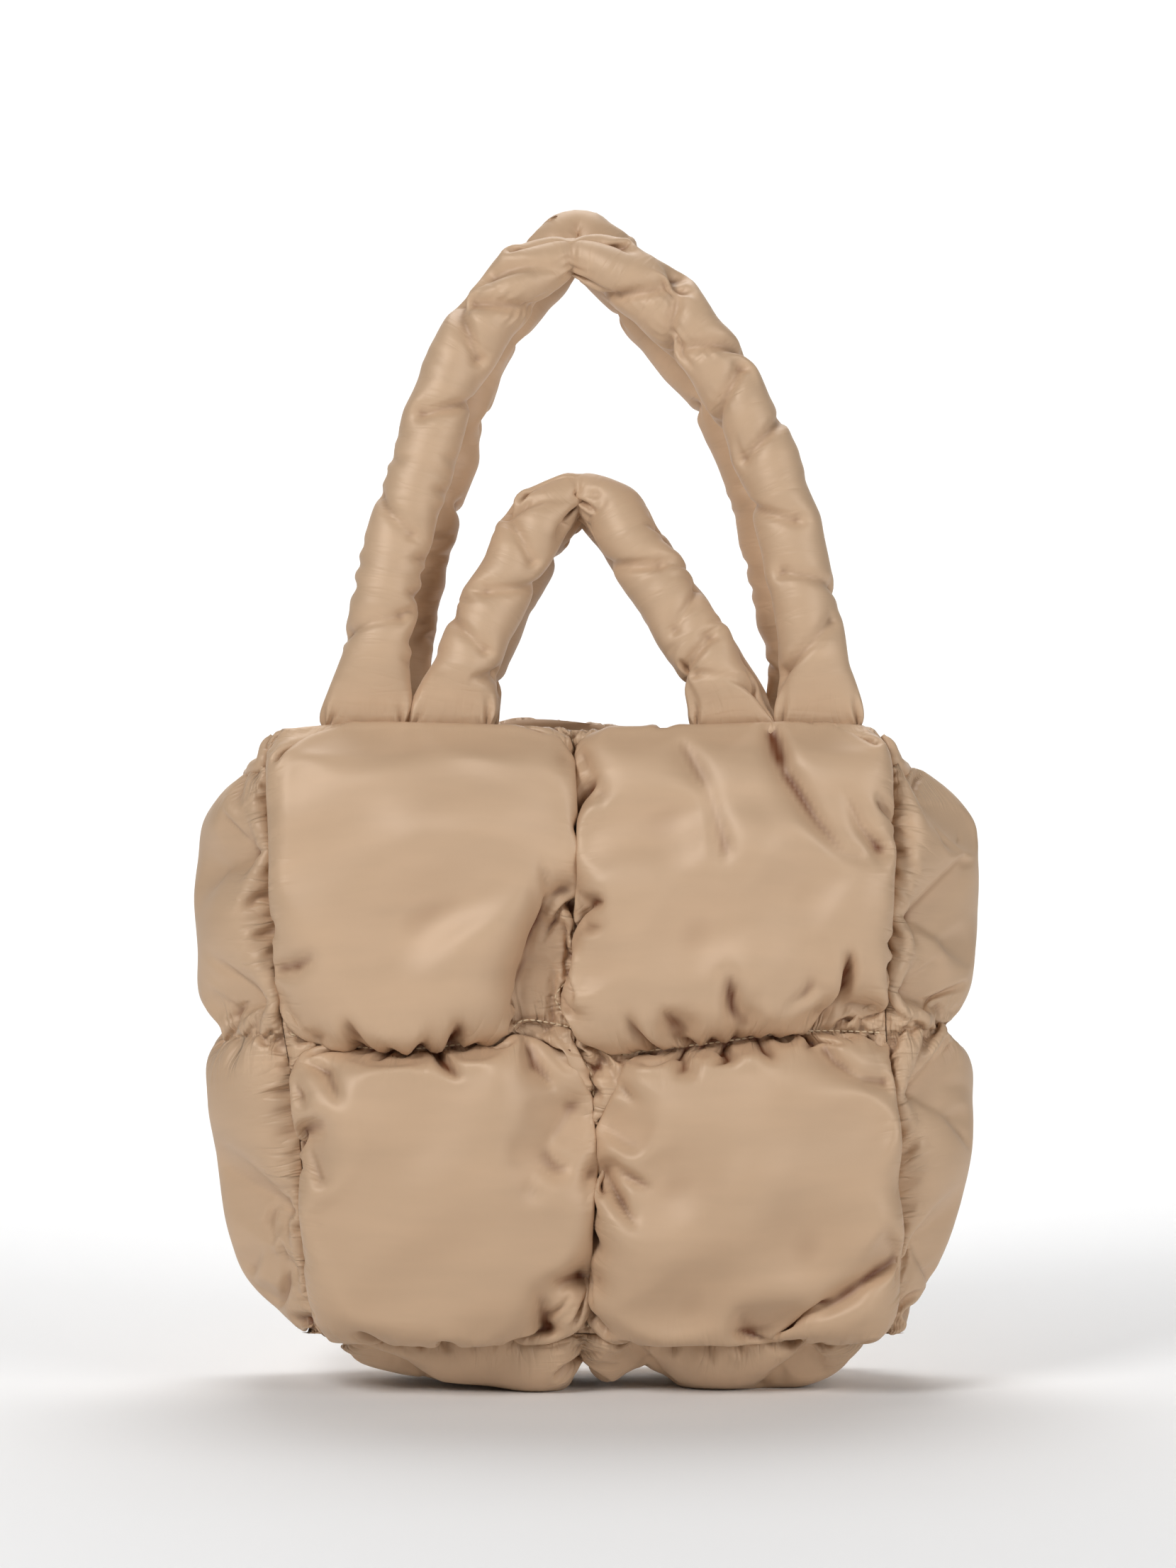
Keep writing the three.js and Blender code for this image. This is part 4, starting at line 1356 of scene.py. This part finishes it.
def satin_cloth_group():
    """Shared look of the nylon: painted shade that darkens the colour in hollows, gathers at the seams,
    streaks and fine threads.
    """
    tree = bpy.data.node_groups.new("satin_cloth", "ShaderNodeTree")
    for name in ("Cloth", "Fold"):
        tree.interface.new_socket(name, in_out="INPUT", socket_type="NodeSocketColor")
    tree.interface.new_socket("Color", in_out="OUTPUT", socket_type="NodeSocketColor")
    tree.interface.new_socket("Roughness", in_out="OUTPUT", socket_type="NodeSocketFloat")
    tree.interface.new_socket("Normal", in_out="OUTPUT", socket_type="NodeSocketVector")
    given = joined(tree, "NodeGroupInput").outputs
    # folds holds each point's depth in a hollow, which sets the painted shade, and its nearness to seams
    folds = joined(tree, "ShaderNodeAttribute", {"attribute_name": "folds"}).outputs["Vector"]
    hollow, by_column, by_row = joined(tree, "ShaderNodeSeparateXYZ", Vector=folds).outputs
    layout = joined(tree, "ShaderNodeUVMap", {"uv_map": "cloth"}).outputs["UV"]

    def noise(scale, detail, distortion=0.0):
        stretched = joined(tree, "ShaderNodeMapping", Vector=layout, Scale=scale).outputs["Vector"]
        values = {"Scale": 1.0, "Detail": detail, "Roughness": PATTERN_ROUGHNESS, "Distortion": distortion}
        return joined(tree, "ShaderNodeTexNoise", Vector=stretched, **values).outputs["Fac"]

    def worked_out(operation, *values):
        inputs = {f"_{i}": value for i, value in enumerate(values)}
        return joined(tree, "ShaderNodeMath", {"operation": operation}, **inputs).outputs[0]

    def gathered(pattern, nearness):
        from_middle = worked_out("ABSOLUTE", worked_out("SUBTRACT", noise(**pattern), 0.5))
        return worked_out("MULTIPLY", from_middle, nearness)

    def bumped(height, bump, **under):
        return joined(tree, "ShaderNodeBump", Height=height, **bump, **under).outputs["Normal"]

    def spread(value, limits):
        return joined(tree, "ShaderNodeMapRange", Value=value, **limits).outputs["Result"]

    streaks = noise(**STREAKS)
    down_seams, along_seams = gathered(GATHERS_DOWN_SEAMS, by_column), gathered(GATHERS_ALONG_SEAMS, by_row)
    threads = []
    for way in ("X", "Y"):
        bands = joined(tree, "ShaderNodeTexWave", {"bands_direction": way}, Vector=layout, Scale=WEAVE_SCALE)
        threads.append(bands.outputs["Fac"])
    # Painted shade: the cloth's colour mixed towards the fold shade colour by the depth in a hollow
    shades = {"_6": given["Cloth"], "_7": given["Fold"]}
    deep = joined(tree, "ShaderNodeMix", {"data_type": "RGBA"}, Factor=hollow, **shades)
    toned = {"_0": deep.outputs[2], "Scale": spread(streaks, STREAK_TONES)}
    colour = joined(tree, "ShaderNodeVectorMath", {"operation": "SCALE"}, **toned).outputs[0]
    rough = spread(streaks, STREAK_ROUGHNESS)
    normal = bumped(worked_out("ADD", down_seams, along_seams), GATHER_BUMP)
    normal = bumped(noise(**WRINKLES), WRINKLE_BUMP, Normal=normal)
    normal = bumped(worked_out("MULTIPLY", *threads), WEAVE_BUMP, Normal=normal)
    joined(tree, "NodeGroupOutput", Color=colour, Roughness=rough, Normal=normal)
    return tree


def new_material(name):
    """A new material, its node tree and its shader."""
    material = bpy.data.materials.new(name)
    material.use_nodes = True
    return material, material.node_tree, material.node_tree.nodes["Principled BSDF"]


def satin(name, group):
    """Soft satin nylon in the cloth's colour, with painted shade that darkens it in the folds."""
    material, tree, shader = new_material(name)
    colours = {"Cloth": (*CLOTH_COLOUR, 1), "Fold": (*FOLD_SHADE_COLOUR, 1)}
    look = joined(tree, "ShaderNodeGroup", {"node_tree": group}, **colours)
    for source, socket in (("Color", "Base Color"), ("Roughness", "Roughness"), ("Normal", "Normal")):
        tree.links.new(look.outputs[source], shader.inputs[socket])
    tangent = joined(tree, "ShaderNodeTangent", {"direction_type": "UV_MAP", "uv_map": "cloth"})
    tree.links.new(tangent.outputs["Tangent"], shader.inputs["Tangent"])
    for socket, value in SATIN_FINISH.items():
        shader.inputs[socket].default_value = value
    return material


def sewing_thread():
    """Smooth pale thread with the twist of its plies."""
    material, tree, shader = new_material("sewing_thread")
    place = joined(tree, "ShaderNodeTexCoord").outputs["Object"]
    bands = {"bands_direction": "DIAGONAL"}
    twist = joined(tree, "ShaderNodeTexWave", bands, Vector=place, Scale=TWIST_SCALE).outputs["Fac"]
    bump = joined(tree, "ShaderNodeBump", Height=twist, **TWIST_BUMP).outputs["Normal"]
    tree.links.new(bump, shader.inputs["Normal"])
    shader.inputs["Base Color"].default_value = (*THREAD_COLOUR, 1)
    shader.inputs["Roughness"].default_value = THREAD_ROUGHNESS
    return material


nylon = satin_cloth_group()
panel_satin, gusset_satin, handle_satin = (
    satin(name, nylon) for name in ("panel_satin", "gusset_satin", "handle_satin")
)
thread = sewing_thread()

for panel in (FRONT, BACK):
    make_panel(panel, panel_satin)
    make_stitches(panel, thread)
for gusset in (LEFT_GUSSET, RIGHT_GUSSET, BOTTOM_GUSSET):
    make_gusset(gusset, gusset_satin)
for gusset in (LEFT_GUSSET, RIGHT_GUSSET):
    make_hem(gusset, gusset_satin)
for handle in HANDLES:
    make_handle(handle, handle_satin)


# Studio

PHOTO_HEIGHT = 2212  # pixels
PHOTO_BASE_ROW = 1971
PHOTO_SCALE = 0.35  # millimetres in a photo pixel at the front seam
FRONT_SEAM_Y = -48.0
CAMERA_DISTANCE = 2200.0
SENSOR_WIDTH = 36.0
FLOOR_FRONT_Y, FLOOR_BACK_Y = -4000.0, 1500.0
WALL_CURVE_RADIUS, WALL_CURVE_STEPS = 900.0, 24
WALL_HEIGHT, HALF_FLOOR_WIDTH = 3500.0, 5000.0
PAPER_COLOUR = (0.92, 0.92, 0.92, 1)
PAPER_ROUGHNESS = 0.9

# Softboxes: name, place, aim and size in metres, and power in watts
SOFTBOXES = (
    ("key", (-1.05, -1.5, 1.35), (0, 0, 0.25), 0.7, 23),
    ("fill", (1.4, -1.4, 0.85), (0, 0, 0.25), 0.9, 14),
    ("backdrop_light", (0, 1.1, 2.6), (0, 2.4, 0.9), 1.6, 60),
)
ROOM_LIGHT = 0.06


def add_camera():
    """A level camera on the photo's axis, whose frame spans the photo's height at the front seam."""
    data = bpy.data.cameras.new("camera")
    camera = bpy.data.objects.new("camera", data)
    bpy.context.scene.collection.objects.link(camera)
    bpy.context.scene.camera = camera
    height = (PHOTO_BASE_ROW - PHOTO_HEIGHT / 2) * PHOTO_SCALE
    camera.location = Vector((0, -CAMERA_DISTANCE, height)) * MM
    camera.rotation_euler = (np.pi / 2, 0, 0)
    data.sensor_width = SENSOR_WIDTH
    data.lens = data.sensor_width * (CAMERA_DISTANCE + FRONT_SEAM_Y) / (PHOTO_HEIGHT * PHOTO_SCALE)


def add_backdrop():
    """A pale floor that curves up into a wall well behind the bag."""
    turn = np.linspace(0, np.pi / 2, WALL_CURVE_STEPS)
    curve_y = FLOOR_BACK_Y + WALL_CURVE_RADIUS * np.sin(turn)
    curve_z = WALL_CURVE_RADIUS * (1 - np.cos(turn))
    y = np.concatenate([[FLOOR_FRONT_Y], curve_y, curve_y[-1:]])
    z = np.concatenate([[0], curve_z, [WALL_HEIGHT]])
    grid = np.stack([np.stack([0 * y + x, y, z], -1) for x in (-HALF_FLOOR_WIDTH, HALF_FLOOR_WIDTH)], 1) * MM
    faces, _ = grid_faces(len(y), 2)
    mesh = bpy.data.meshes.new("backdrop")
    mesh.from_pydata(grid.reshape(-1, 3).tolist(), [], faces.tolist())
    mesh.polygons.foreach_set("use_smooth", np.ones(len(mesh.polygons), bool))
    paper, _, shader = new_material("pale_paper")
    shader.inputs["Base Color"].default_value = PAPER_COLOUR
    shader.inputs["Roughness"].default_value = PAPER_ROUGHNESS
    mesh.materials.append(paper)
    backdrop = bpy.data.objects.new("backdrop", mesh)
    bpy.context.scene.collection.objects.link(backdrop)


def add_softbox(name, place, aim, size, power):
    """A square area light, in metres and watts, that faces its aim."""
    data = bpy.data.lights.new(name, "AREA")
    data.size = size
    data.energy = power
    light = bpy.data.objects.new(name, data)
    light.location = place
    light.rotation_euler = (Vector(aim) - Vector(place)).to_track_quat("-Z", "Y").to_euler()
    bpy.context.scene.collection.objects.link(light)


def add_room_light():
    """Even white light from all round."""
    world = bpy.data.worlds.new("room")
    bpy.context.scene.world = world
    world.use_nodes = True
    glow = world.node_tree.nodes["Background"]
    glow.inputs["Color"].default_value = (1, 1, 1, 1)
    glow.inputs["Strength"].default_value = ROOM_LIGHT


add_camera()
add_backdrop()
for softbox in SOFTBOXES:
    add_softbox(*softbox)
add_room_light()
bpy.context.scene.view_settings.view_transform = "Standard"
